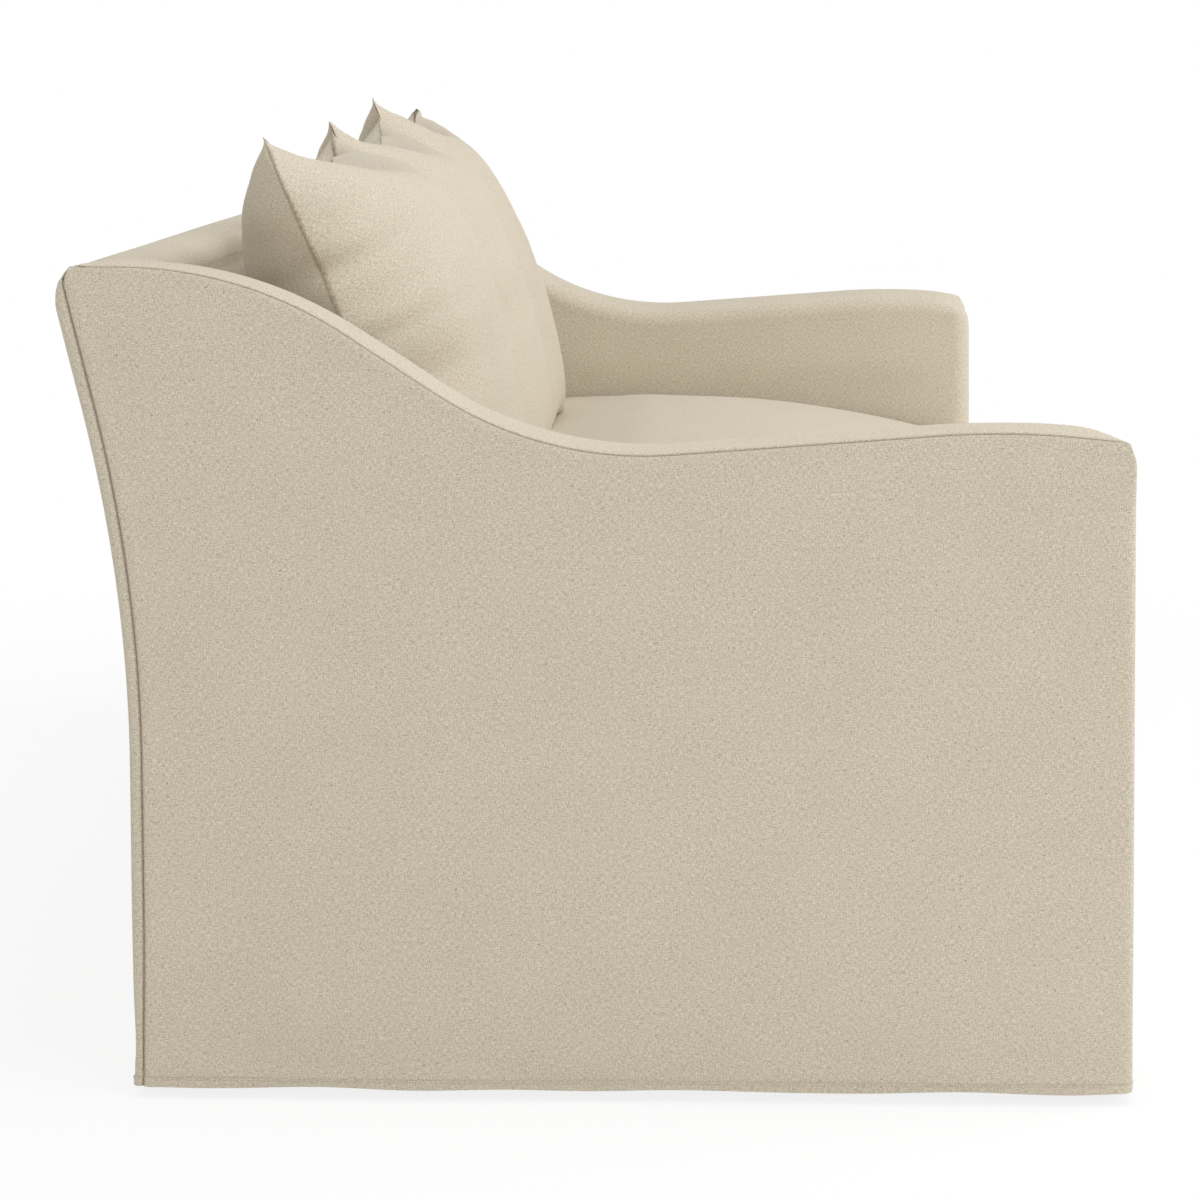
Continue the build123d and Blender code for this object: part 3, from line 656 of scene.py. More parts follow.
def plain_finish(name, colour, roughness, metallic):
    """Drawn wire or moulded plastic with a faintly uneven surface."""
    material, tree, shader = start_material(name, roughness)
    shader.inputs["Metallic"].default_value = metallic
    place = node(tree, "ShaderNodeTexCoord").outputs["Object"]
    value = grain(tree, stretch(tree, place, (260, 260, 260)), 3.0)
    dark = tuple(0.75 * c for c in colour)
    tree.links.new(tint(tree, value, (*dark, 1.0), (*colour, 1.0)), shader.inputs["Base Color"])
    bump(tree, shader, value, 0.12, 0.0004)
    return material


# Slipcover


def from_edge(flat, axis, far):
    """Distance of each point of a grid from its near or far edge."""
    step = np.linalg.norm(np.diff(flat, axis=axis), axis=-1)
    zero = np.zeros_like(np.take(step, [0], axis=axis))
    if far:
        step = np.flip(step, axis=axis)
    run = np.concatenate((zero, np.cumsum(step, axis=axis)), axis=axis)
    return np.flip(run, axis=axis) if far else run


def rear_seam():
    """Side seam of the outside back, from the hem to the top corner."""
    rear, out = OUTLINE[REAR_SEAM_AT:][::-1], OUTWARD[REAR_SEAM_AT:][::-1]
    return rear - out * rear_turn(rear, out)[:, None]


def ear(y, z, place):
    """Small pointed corner where seams meet: 1 at its place, fading to 0."""
    return np.exp(-((y - place[0]) ** 2 + (z - place[1]) ** 2) / EAR_SPREAD ** 2)


def outside_arm_panel():
    """Left outside arm: a flat panel that turns round the arm's front edge, with a hem."""
    sizes = cover_sizes()
    right = rear_seam()
    top = np.vstack((OUTLINE[FRONT_CORNER_AT:REAR_SEAM_AT], right[-1:]))
    left = OUTLINE[:FRONT_CORNER_AT + 1]
    bottom = np.array((left[0], right[0]))
    u, v = (spaced(lengths(edge)[-1], PANEL_STEP) for edge in (top, left))
    flat = coons(bottom, top, left, right, u, v)
    y, z = flat[..., 0].copy(), flat[..., 1].copy()
    to_top, to_rear, to_front = from_edge(flat, 0, True), from_edge(flat, 1, True), from_edge(flat, 1, False)
    rear_tip = ear(y, z, right[-1])
    front_tip = FRONT_EAR * ear(y, z, top[0])
    hem_rise = 0.0012 * ripple(flat[..., :1], 0.2, seed=6) * np.exp(-(z - HEM_Z) / 0.02)
    turn = front_turn(z)
    reach = np.minimum(to_front, turn)
    round_front = turn * np.arccos(1 - reach / turn)
    x = END_X + turn - np.sqrt(np.maximum(0, turn ** 2 - (turn - reach) ** 2))
    x += DIAGONAL * dip(to_top) + dip(to_rear)
    z -= DIAGONAL * dip(to_top)
    inside = smooth(np.minimum.reduce((to_top, to_rear, to_front)), 0.0, 0.06)
    x -= inside * (0.0015 + sizes.slack * ripple(flat, 0.36, seed=3))
    x -= hem_effect(z, flat, seed=5) * smooth(to_front, 0, 0.03)
    y += np.where(to_front < turn, np.maximum(dip(round_front + to_front), 0), 0)
    y += SIDE_EAR[0] * rear_tip - front_tip
    z += SIDE_EAR[1] * rear_tip + front_tip + hem_rise
    # Painted shade along the seams and the hem's stitch line
    shade = np.maximum(painted_seam_shade(to_top, to_rear, round_front + to_front), painted_hem_shade(z))
    return np.stack((x, y, z), -1), flat, shade


class SOFA_OT_outside_arms(bpy.types.Operator):
    """Make the flat outside panels of both arms, with their seams and hems"""

    bl_idname = "sofa.outside_arms"
    bl_label = "Outside arms"

    def execute(self, context):
        grid, flat, shade = outside_arm_panel()
        left = cloth_object("outside_arm_left", [(grid, flat, shade)], lambda g: (-1, 0, 0))
        right = mirrored(left, "outside_arm_right")
        for obj, side in ((left, "left"), (right, "right")):
            nodes = [f"outside_arm_cover_{side}", f"arm_batting_{side}"]
            finish_cloth(obj, "frame", nodes)
        return {"FINISHED"}


def arm_strip():
    """Left arm's boxing strip: up the front, over the top, and round into the inside of the arm."""
    sizes = cover_sizes()
    path, out = OUTLINE[:ARM_END_AT + 1], OUTWARD[:ARM_END_AT + 1]
    run = lengths(path)[:, None]
    on_front = 1 - smooth(np.arange(len(path)), FRONT_CORNER_AT - 3, FRONT_CORNER_AT)[:, None]
    start = END_X + front_turn(path[:, 1:]) * on_front
    width = INNER_X - sizes.edge_round - start
    share = spaced(float(width.max()), STRIP_STEP, True, False)
    across = share * width
    fade = smooth(run[-1] - run, 0, 0.14)
    sink = DIAGONAL + (1 - DIAGONAL) * on_front
    lift = sizes.arm_crown * np.sin(math.pi * share) * fade * (1 - on_front) - sink * dip(across)
    corner = np.exp(-((run - run[FRONT_CORNER_AT]) / CORNER_SPREAD) ** 2)
    lift -= CORNER_FALL * corner * smooth(across, 0.004, 0.055)
    lift += hem_effect(path[:, 1], path, seed=8)[:, None] * on_front * smooth(across, 0, 0.03)
    loose = smooth(across, 0, 0.04) * (1 - smooth(across, width - 0.02, width)) * fade
    lift += sizes.slack * ripple(paired(across, run), 0.3, seed=11) * loose
    x = start + across + DIAGONAL * (1 - on_front) * dip(across)
    angle = np.linspace(0, math.pi / 2, 10)[1:]
    turned = np.ones((len(path), 1))
    x = np.hstack((x, turned * (INNER_X - sizes.edge_round * (1 - np.sin(angle)))))
    lift = np.hstack((lift, lift[:, -1:] * np.cos(angle) - sizes.edge_round * (1 - np.cos(angle))))
    points = raised(path, out, lift)
    points = points + FRONT_EAR * ear(run, x, (run[FRONT_CORNER_AT], END_X))[..., None] * (-1, 1)
    flat = paired(np.hstack((across, width + sizes.edge_round * angle)), run)
    # Painted shade along the strip's seams, and along the hem's stitch line on its front
    shade = painted_seam_shade(np.hstack((across, turned + 0 * angle)))
    return np.dstack((x, points)), flat, np.maximum(shade, painted_hem_shade(path[:, 1:]) * on_front)


def arm_inside():
    """Inner face of the left arm above the deck, and its return beside the apron below it."""
    sizes = cover_sizes()
    inset = (OUTLINE - OUTWARD * sizes.edge_round)[:ARM_END_AT + 1]
    low = DECK_Z - 0.03
    deck_at = int(np.argmax(inset[:, 1] > low))
    left, top = inset[deck_at:FRONT_CORNER_AT + 1], inset[FRONT_CORNER_AT:]
    right = np.array(((back_face_y(low), low), top[-1]))
    right = along(right, np.linspace(0, 1, 40))
    bottom = np.array((left[0], right[0]))
    u, v = (lengths(edge) / lengths(edge)[-1] for edge in (top, left))
    flat = coons(bottom, top, left, right, u, v)
    to_edge = np.minimum(from_edge(flat, 0, True), from_edge(flat, 1, False))
    z = flat[..., 1]
    pad = 0.004 * smooth(to_edge, 0, 0.10) * smooth(z, 0.50, 0.56)
    pad += sizes.slack * ripple(flat, 0.28, seed=17) * smooth(to_edge, 0, 0.08) * smooth(z, 0.50, 0.54)
    face = np.dstack((INNER_X + pad, flat))
    below = inset[:deck_at + 1]
    side = paired(below[:, :1] + np.linspace(0, 0.045, 4), below[:, 1:])
    back = np.dstack((np.full(side.shape[:2], INNER_X), side))
    return (face, flat + ARM_INSIDE_CUT, 0.0), (back, side + ARM_INSIDE_CUT, 0.0)


class SOFA_OT_arm_bands(bpy.types.Operator):
    """Make the cloth over the front, top and inside of both arms"""

    bl_idname = "sofa.arm_bands"
    bl_label = "Arm bands"

    def execute(self, context):
        middle = np.array(((END_X + INNER_X) / 2, 0.0, 0.35))
        grids = [arm_strip(), *arm_inside()]
        left = cloth_object("arm_band_left", grids, lambda g: (g - middle) * (1, 0.4, 0.6))
        right = mirrored(left, "arm_band_right")
        for obj, side in ((left, "left"), (right, "right")):
            nodes = [f"arm_cover_{side}", f"arm_pad_{side}"]
            finish_cloth(obj, "frame", nodes)
        return {"FINISHED"}


def outside_back_panel():
    """Outside back, from the hem to the seam on top of the back, turned round both rear corners."""
    sizes = cover_sizes()
    path, out = OUTLINE[REAR_SEAM_AT:], OUTWARD[REAR_SEAM_AT:]
    share = spaced(lengths(path)[-1], BACK_STEP)
    path, out = along(path, share), carried(path, out, share)
    out /= np.linalg.norm(out, axis=1)[:, None]
    near = np.concatenate((EDGE_DISTANCES, (0.034, 0.041, 0.050)))
    turn = rear_turn(path, out)[:, None]
    bend = np.minimum(near / turn, math.pi / 2)
    straight = np.maximum(0, near - turn * math.pi / 2)
    near_x = END_X + turn * (1 - np.cos(bend)) + straight + np.cos(bend) * dip(near)
    near_in = turn * (1 - np.sin(bend))
    half = near_x[:, -1:]
    middle = half - 2 * half * np.linspace(0, 1, 118)[1:-1]
    x = np.hstack((near_x, middle, -near_x[:, ::-1]))
    inset = np.hstack((near_in, 0 * middle, near_in[:, ::-1]))
    facing = np.hstack((np.sin(bend), 0 * middle + 1, np.sin(bend)[:, ::-1]))
    to_seam = near + 0 * turn
    to_side = np.hstack((to_seam, near[-1] + middle - half, to_seam[:, ::-1]))
    to_side = np.minimum(to_side, to_side[:, ::-1])
    to_top = lengths(path)[:, None] + 0 * x
    z = path[:, 1:] + 0 * x
    places = paired(x, z)
    lift = hem_effect(z, places, seed=21) * facing - dip(to_side) * facing - dip(to_top) - inset
    lift += sizes.slack * 1.5 * ripple(places, 0.40, seed=23) * smooth(np.minimum(to_side, to_top), 0, 0.06)
    points = raised(path, out, lift)
    points = points + ear(np.abs(x) + END_X, to_top, (0.0, 0.0))[..., None] * BACK_EAR
    span = 2 * to_side.max(axis=1, keepdims=True)
    flat = paired(OUTSIDE_BACK_CUT + np.where(x < 0, to_side, span - to_side), -to_top)
    # Painted shade along the side and top seams and the hem's stitch line
    return np.dstack((x, points)), flat, np.maximum(painted_seam_shade(to_side, to_top), painted_hem_shade(z))


class SOFA_OT_outside_back(bpy.types.Operator):
    """Make the outside back, which turns round the rear corners to the side seams"""

    bl_idname = "sofa.outside_back"
    bl_label = "Outside back"

    def execute(self, context):
        grid, flat, shade = outside_back_panel()
        obj = cloth_object("outside_back", [(grid, flat, shade)], lambda g: (0, 1, 0.2))
        nodes = ["outside_back_cover", "outside_back_batting"]
        finish_cloth(obj, "frame", nodes)
        return {"FINISHED"}


def inside_back_grids():
    """Top of the back from end to end, and the inside back between the arms."""
    sizes = cover_sizes()
    path, out = OUTLINE[ARM_END_AT:REAR_SEAM_AT + 1], OUTWARD[ARM_END_AT:REAR_SEAM_AT + 1]
    total = lengths(path)[-1]
    share = spaced(total, BACK_TOP_STEP)
    path, out = along(path, share), carried(path, out, share)
    run = share[:, None] * total
    end, inner = -END_X, -INNER_X
    side = end - np.concatenate((EDGE_DISTANCES, np.linspace(0.036, end - inner - 0.028, 6)))
    turn = inner + np.array((0.024, 0.020, 0.016, 0.012, 0.008, 0.005, 0.0025, 0.0))
    half = np.concatenate((side, turn))
    x = np.concatenate((half, np.linspace(inner, -inner, 132)[1:-1], -half[::-1]))
    reach = np.minimum(np.hypot(np.maximum(0, np.abs(x) - inner), run), sizes.edge_round)
    drop = sizes.edge_round - np.sqrt(sizes.edge_round ** 2 - (sizes.edge_round - reach) ** 2)
    to_end, to_rear = np.broadcast_arrays(end - np.abs(x), total - run)
    away = smooth(np.minimum(to_end, to_rear), 0, 0.03) * smooth(run, 0, 0.05)
    places = paired(x, run)
    lift = away * (0.003 + sizes.slack * ripple(places, 0.3, seed=29))
    lift -= drop + DIAGONAL * dip(to_end) + dip(to_rear)
    points = raised(path, out, lift)
    points = points + ear(to_end, to_rear, (0.0, 0.0))[..., None] * BACK_EAR
    grid = np.dstack((x - np.sign(x) * DIAGONAL * dip(to_end), points))
    # Painted shade along the seams at the ends and the rear
    top = (grid, places + BACK_TOP_CUT, painted_seam_shade(to_end, to_rear))
    between_arms = np.abs(x) <= inner + 1e-9
    _, first_y, first_z = grid[0, between_arms].T
    depth = first_z[0] - DECK_Z + 0.04
    down = np.concatenate(((0.0, 0.004, 0.010, 0.018, 0.028), np.arange(0.042, depth, 0.014)))[:, None]
    z = first_z - down
    y = back_face_y(z) + (first_y - back_face_y(first_z)) * np.exp(-down / 0.02)
    flat = paired(x[between_arms], z)
    return top, (np.dstack((flat[..., 0], y, z)), flat + INSIDE_BACK_CUT, 0.0)


class SOFA_OT_inside_back(bpy.types.Operator):
    """Make the top of the back and the inside back between the arms"""

    bl_idname = "sofa.inside_back"
    bl_label = "Inside back"

    def execute(self, context):
        top, face = inside_back_grids()
        obj = cloth_object("inside_back", [top, face], lambda g: (0, -0.3, 1))
        nodes = ["inside_back_cover", "back_pad"]
        finish_cloth(obj, "frame", nodes)
        return {"FINISHED"}


def apron_grid():
    """Front of the skirt between the arms, turned back over the deck's front edge."""
    slope = FRONT_FLARE / (ARM_TOP - FRONT_DROP - HEM_Z)
    front = [(APRON_Y, HEM_Z), (APRON_Y + slope * (DECK_Z - HEM_Z), DECK_Z), (APRON_Y + APRON_RETURN, DECK_Z)]
    path = rounded_path(front, [APRON_FOLD])
    path = along(path, spaced(lengths(path)[-1], APRON_STEP, True, False))
    places = paired(np.linspace(INNER_X, -INNER_X, 150), path[:, 1:])
    x, z = places[..., 0], places[..., 1]
    lift = hem_effect(z, places, seed=31) + cover_sizes().slack * ripple(places, 0.4, seed=33)
    lift *= 1 - smooth(z, DECK_Z - 0.05, DECK_Z - 0.01)
    points = raised(path, outward_of(path), lift)
    # Painted shade along the hem's stitch line
    return np.dstack((x, points)), paired(x + APRON_CUT, lengths(path)[:, None]), painted_hem_shade(z)


def flat_sheet(low, high, z, sag, seed):
    """Slightly sagging level cloth."""
    u, v = np.linspace(0, 1, 120), np.linspace(0, 1, 60)[:, None]
    flat = paired(low[0] + (high[0] - low[0]) * u, low[1] + (high[1] - low[1]) * v)
    sagging = sag * np.sin(math.pi * u) * np.sin(math.pi * v) * (1 + 0.2 * ripple(flat, 0.5, seed))
    return np.dstack((flat, z - sagging)), flat, 0.0


class SOFA_OT_apron_and_linings(bpy.types.Operator):
    """Make the front apron, the deck cloth under the seat and the dust cover under the frame"""

    bl_idname = "sofa.apron_and_linings"
    bl_label = "Apron and linings"

    def execute(self, context):
        grid, flat, shade = apron_grid()
        apron = cloth_object("front_apron_cloth", [(grid, flat, shade)], lambda g: (0, -1, 0.2))
        finish_cloth(apron, "frame", ["front_apron", "front_rail_pad"])
        cotton = woven("Cotton lining", colours().lining, 0.0012)
        deck_grid = flat_sheet(DECK_LOW, DECK_HIGH, DECK_Z, 0.004, seed=41)
        dust_grid = flat_sheet(DUST_LOW, DUST_HIGH, DUST_LOW[2], 0.006, seed=43)
        deck = cloth_object("deck_cloth", [deck_grid], lambda g: (0, 0, 1))
        dust = cloth_object("dust_cloth", [dust_grid], lambda g: (0, 0, -1))
        for obj, nodes, rest in ((deck, ["deck_cover", "deck_pad"], "seat_springs"),
                                 (dust, ["dust_cover"], "front_seat_rail")):
            obj.data.materials.append(cotton)
            thicken(obj)
            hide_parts(*nodes)
            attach(obj, "frame")
        return {"FINISHED"}


# Cushions

def finer(grid, shares, axis):
    """Grid read at closer shares along one axis, on smooth curves through its points."""
    grid = np.moveaxis(grid, axis, 0)
    place = np.asarray(shares) * (len(grid) - 1)
    at = np.minimum(place.astype(int), len(grid) - 2)
    t = (place - at)[:, None, None]
    ends = np.concatenate((2 * grid[:1] - grid[1:2], grid, 2 * grid[-1:] - grid[-2:-1]))
    a, b, c, d = ends[at], ends[at + 1], ends[at + 2], ends[at + 3]
    curve = b + 0.5 * t * (c - a + t * (2 * a - 5 * b + 4 * c - d + t * (3 * (b - c) + d - a)))
    return np.moveaxis(curve, 0, axis)


def refined(grid, u, v):
    """Grid read at closer shares both ways."""
    return finer(finer(grid, u, 1), v, 0)


# Linen for the filling of a cushion, in the terms of Blender's Cloth
FILLED_CLOTH = {
    "quality": 6, "mass": 0.30, "tension_stiffness": 30, "compression_stiffness": 12, "shear_stiffness": 6,
    "bending_stiffness": 0.25, "use_pressure": True,
}


def inflate(points, faces):
    """Fills a sewn cloth shape by simulation and gives its points back."""
    sizes = cushion_sizes()
    obj = plain_object("filling", points, faces)
    with edited(obj.data) as work:
        bmesh.ops.recalc_face_normals(work, faces=work.faces)
        if work.calc_volume(signed=True) < 0:
            bmesh.ops.reverse_faces(work, faces=work.faces)
    cloth = obj.modifiers.new("Filling", "CLOTH")
    for key, value in FILLED_CLOTH.items():
        setattr(cloth.settings, key, value)
    cloth.settings.uniform_pressure_force = sizes.pressure
    cloth.settings.effector_weights.gravity = 0
    cloth.collision_settings.use_collision = False
    cloth.point_cache.frame_start = 1
    cloth.point_cache.frame_end = sizes.frames
    scene = bpy.context.scene
    for number in range(1, sizes.frames + 1):
        scene.frame_set(number)
    filled = obj.evaluated_get(bpy.context.evaluated_depsgraph_get()).data
    result = np.empty(3 * len(filled.vertices))
    filled.vertices.foreach_get("co", result)
    scene.frame_set(1)
    bpy.data.objects.remove(obj)
    return result.reshape(-1, 3)


def sew(obj, depth):
    """Sinks a cushion's seams by a share of their depth and paints their shade, from distances in an
    attribute.
    """
    mesh = obj.data
    seam = mesh.attributes["seam"].data
    distance = np.empty(len(mesh.vertices), np.float32)
    normals, points = np.empty((2, len(mesh.vertices), 3), np.float32)
    seam.foreach_get("value", distance)
    mesh.vertex_normals.foreach_get("vector", normals.reshape(-1))
    mesh.vertices.foreach_get("co", points.reshape(-1))
    points = points - normals * (depth * dip(distance))[:, None]
    mesh.vertices.foreach_set("co", points.reshape(-1).astype(np.float32))
    seam.foreach_set("value", painted_seam_shade(distance).astype(np.float32))
    mesh.update()


def finish_cushion(obj, body, nodes, depth):
    """Sews and dresses a cushion and ties it to its body."""
    sew(obj, depth)
    obj.data.materials.append(linen())
    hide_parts(*nodes)
    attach(obj, body)


# Seat cushion: where its top seam, its crown and the place under the back cushions lie
SEAT_SEAM_Z = 0.4427
REST_Y = 0.108
REST_Z = 0.5017
REST_SLOPE = math.tan(math.radians(9.7))
SEAT_CROWN = 0.040
SEAT_END_CROWN = 0.020
SEAT_FRONT_BULGE = 0.009
# Room in front of the solid, then where the swell ends before the back cushions and how softly
SEAT_FRONT_ROOM = 0.004
REST_MARGIN = 0.008
SWELL_EASE = 0.22
# Cells of the simulated box, the size of each panel and the place on the bolt from which it is cut
SEAT_CELLS = (84, 38, 6)
SEAT_SPAN = (SEAT_HIGH[0] - SEAT_LOW[0], SEAT_HIGH[1] - SEAT_LOW[1], SEAT_SEAM_Z - SEAT_LOW[2])
SEAT_SPANS = {
    "top": SEAT_SPAN[:2], "bottom": SEAT_SPAN[:2],
    "front": SEAT_SPAN[::2], "rear": SEAT_SPAN[::2],
    "left": SEAT_SPAN[1:], "right": SEAT_SPAN[1:],
}
SEAT_CUTS = {"top": 0.0, "bottom": 3.0, "front": 5.0, "rear": 7.0, "left": 9.0, "right": 11.0}


def seat_top(x, y):
    """Height of the seat cushion's top."""
    front = SEAT_LOW[1] + SEAT_FRONT_BULGE
    share = np.clip((y - front) / (REST_Y - front), 0, 1)
    middle = 1 - np.clip(np.abs(x) / SEAT_HIGH[0], 0, 1) ** 4
    crown = (SEAT_END_CROWN + (SEAT_CROWN - SEAT_END_CROWN) * middle) * 4 * share * (1 - share)
    return SEAT_SEAM_Z + (REST_Z - SEAT_SEAM_Z) * share + crown - np.maximum(0, y - REST_Y) * REST_SLOPE


def seat_limits(points):
    """Keeps the seat cushion between the arms, on the deck and under the back cushions."""
    clear = cushion_sizes().clearance
    x = np.clip(points[..., 0], SEAT_LOW[0], SEAT_HIGH[0])
    y = np.clip(points[..., 1], SEAT_LOW[1] - SEAT_FRONT_ROOM, SEAT_HIGH[1])
    swell = 2 * cushion_sizes().seat_cap * smooth(REST_Y - REST_MARGIN - y, 0, SWELL_EASE)
    z = np.clip(points[..., 2], SEAT_LOW[2], seat_top(x, y) + swell - clear)
    return np.stack((x, y, z), -1)


def seat_lattice():
    """Surface points of the seat cushion as a box of even cells, with the index grids of its six panels."""
    index, points = {}, []

    def corner(*place):
        if place not in index:
            a, b, c = (number / count for number, count in zip(place, SEAT_CELLS))
            x = SEAT_LOW[0] + (SEAT_HIGH[0] - SEAT_LOW[0]) * a
            front = SEAT_LOW[1] + SEAT_FRONT_BULGE * (1 - 0.9 * (1 - (2 * c - 1) ** 2))
            y = front + (SEAT_HIGH[1] - front) * b
            z = SEAT_LOW[2] + (float(seat_top(x, y)) - SEAT_LOW[2]) * c
            index[place] = len(points)
            points.append((x, y, z))
        return index[place]

    along_x, along_y, up = (range(n + 1) for n in SEAT_CELLS)
    right, rear, top = SEAT_CELLS
    panels = {
        "top": np.array([[corner(i, j, top) for i in along_x] for j in along_y]),
        "bottom": np.array([[corner(i, j, 0) for i in along_x] for j in along_y]),
        "front": np.array([[corner(i, 0, k) for i in along_x] for k in up]),
        "rear": np.array([[corner(i, rear, k) for i in along_x] for k in up]),
        "left": np.array([[corner(0, j, k) for j in along_y] for k in up]),
        "right": np.array([[corner(right, j, k) for j in along_y] for k in up]),
    }
    return np.array(points), panels


def seat_panel(grid, panel):
    """One panel of the seat cushion, its points drawn closer and its seam distances measured."""
    across, up = (np.linalg.norm(np.diff(grid, axis=axis), axis=-1).sum(axis).max() for axis in (1, 0))
    u, v = (spaced(span, SEAT_STEP) for span in SEAT_SPANS[panel])
    fine = refined(grid, u, v)
    flat = paired(u * across, v[:, None] * up)
    to_side = np.minimum(u, 1 - u) * across
    to_end = np.minimum(v, 1 - v)[:, None] * up
    return fine, flat + SEAT_CUTS[panel], np.minimum(to_side, to_end)


class SOFA_OT_seat_cushion(bpy.types.Operator):
    """Make the bench seat cushion, a boxed cushion filled by simulation"""

    bl_idname = "sofa.seat_cushion"
    bl_label = "Seat cushion"

    def execute(self, context):
        sizes = cushion_sizes()
        points, panels = seat_lattice()
        faces = np.concatenate([quads_of(index) for index in panels.values()]).tolist()
        moved = inflate(points, faces) - points
        reach = np.linalg.norm(moved, axis=1)
        moved *= (np.minimum(reach, sizes.seat_cap) / np.maximum(reach, 1e-9))[:, None]
        points = points + moved
        points = seat_limits(points)
        middle = points.mean(axis=0)
        grids = [seat_panel(points[index], name) for name, index in panels.items()]
        obj = cloth_object("seat_cushion_linen", grids, lambda g: g - middle)
        finish_cushion(obj, "seat", ["seat_cushion", "seat_cushion_core"], depth=0.5)
        return {"FINISHED"}


# Back cushions: the line of their seams, seen from the end, and how they stand on the seat
SEAM_FOOT = (0.165, 0.4923)
SEAM_LEAN = math.radians(20.8)
SEAM_LENGTH = 0.475
FOOT_TUCK = 0.085
CUSHION_CENTRES = {"left": -0.63113, "centre": 0.0, "right": 0.63113}
CUSHION_SPREAD = 1.035
CUSHION_TURNS = {"left": 0.0, "centre": -0.002, "right": -0.009}
# How much taller a cushion stands, and how fast its front loses fullness above a height
CUSHION_RISES = {"left": 0.0, "centre": 0.010, "right": 0.021}
CUSHION_SLUMPS = {"left": (0.0, 0.0), "centre": (0.45, 0.08), "right": (0.68, -0.08)}
# The corner that is folded in, across and up, and the seeds of the filling's and the folds' unevenness
CUSHION_TUCKS = {"left": (1, 1), "centre": (-1, 1), "right": (1, 1)}
FILL_SEEDS = {"left": 51, "centre": 58, "right": 65}
FOLD_SEEDS = {"left": 61, "centre": 66, "right": 71}
# How far the middle of a cushion stands from its seam line, at heights along that line
FRONT_PROFILE = (
    (-0.085, 0.0), (-0.070, 0.030), (-0.035, 0.056), (0.0, 0.076), (0.050, 0.096), (0.097, 0.110),
    (0.160, 0.126), (0.236, 0.136), (0.295, 0.134), (0.329, 0.127), (0.361, 0.116), (0.393, 0.099),
    (0.420, 0.076), (0.442, 0.047), (0.460, 0.020), (0.475, 0.0),
)
REAR_PROFILE = (
    (-0.085, 0.0), (-0.040, 0.036), (0.0, 0.062), (0.100, 0.102), (0.200, 0.119), (0.280, 0.115),
    (0.361, 0.094), (0.420, 0.062), (0.450, 0.036), (0.475, 0.0),
)
# Share of a plain curve from seam to seam, which a soft filling takes, in the front and rear sheets
FRONT_SOFTNESS = 0.8
REAR_SOFTNESS = 0.3
# How closely the profiles' corners are rounded, and how far a section may stand past its middle
PROFILE_EASE = 0.018
FULLEST = 1.2
# Flat pattern of a sheet and its spacing, the swell from which its filling starts, and how much each
# smoothing evens it
PATTERN = np.array((0.74, 0.62))
PATTERN_STEP = 0.0125
START_SWELL = 0.012
EVENED_SHARE = 0.6
# Small folds along the seams: their length, and the distances in which they rise and die away
PUCKER_LENGTH = 0.052
PUCKER_RISE = 0.028
PUCKER_REACH = 0.032
# How far a corner is drawn in, and over what distance: for a plain corner and for one that is folded in
PLAIN_CORNER = (0.014, 0.020)
FOLDED_CORNER = (0.034, 0.060)
# About the middle of a standing cushion, in Y and Z
STANDING_MIDDLE = (0.246, 0.70)


def pillow_sheets():
    """Flat pattern of a back cushion: two sheets sewn together at their edges."""
    columns, rows = int(PATTERN[0] / PATTERN_STEP) + 1, int(PATTERN[1] / PATTERN_STEP) + 1
    x, v = np.linspace(-0.5, 0.5, columns) * PATTERN[0], np.linspace(-0.5, 0.5, rows) * PATTERN[1]
    front = np.arange(rows * columns).reshape(rows, columns)
    rear = front.copy()
    rear[1:-1, 1:-1] = np.arange((rows - 2) * (columns - 2)).reshape(rows - 2, columns - 2) + rows * columns
    return paired(x, v[:, None]), front, rear


def lens(flat):
    """Rise of a filled cushion over its flat pattern, between 0 at the seams and 1."""
    a, b = 2 * flat[..., 0] / PATTERN[0], 2 * flat[..., 1] / PATTERN[1]
    return (np.maximum(0, 1 - a * a) * np.maximum(0, 1 - b * b)) ** 0.5


def filled_pillow(seed):
    """Front and rear sheets of a back cushion after it is filled: across, up and out, about its middle."""
    flat, front, rear = pillow_sheets()
    start = START_SWELL * lens(flat) * (1 + 0.4 * ripple(flat, 0.22, seed))
    sheet = np.dstack((flat, start))
    under = np.dstack((flat, -start))[1:-1, 1:-1]
    points = np.concatenate((sheet.reshape(-1, 3), under.reshape(-1, 3)))
    faces = np.concatenate((quads_of(front), quads_of(rear)[:, ::-1])).tolist()
    points = inflate(points, faces)
    points -= (points.min(axis=0) + points.max(axis=0)) / 2
    points[front[0], 2] = points[front[-1], 2] = points[front[:, 0], 2] = points[front[:, -1], 2] = 0.0
    upper, lower = points[front], points[rear]
    upper[..., 2], lower[..., 2] = np.maximum(upper[..., 2], 0), np.minimum(lower[..., 2], 0)
    return flat, evened(upper), evened(lower)


def evened(sheet):
    """Sheet with its sharpest buckles smoothed out by the filling, its edges kept."""
    for _ in range(cushion_sizes().evening):
        middle = (sheet[:-2, 1:-1] + sheet[2:, 1:-1] + sheet[1:-1, :-2] + sheet[1:-1, 2:]) / 4
        sheet = sheet.copy()
        sheet[1:-1, 1:-1] = (1 - EVENED_SHARE) * sheet[1:-1, 1:-1] + EVENED_SHARE * middle
    return sheet


def seat_for_pillow(points, centre):
    """Keeps a back cushion between its neighbours, on the seat and off the back."""
    clear = cushion_sizes().clearance
    half = CUSHION_CENTRES["right"] / 2 - clear
    x = np.clip(points[..., 0], centre - half, centre + half)
    y, z = points[..., 1], points[..., 2]
    y = np.where(z < BACK_TOP_Z - 0.01, np.minimum(y, back_face_y(z) - clear), y)
    y = np.where(z < BACK_TOP_Z + 0.006, np.minimum(y, back_face_y(BACK_TOP_Z) - clear), y)
    z = np.maximum(z, seat_top(x, y) + clear)
    return np.stack((x, y, z), -1)


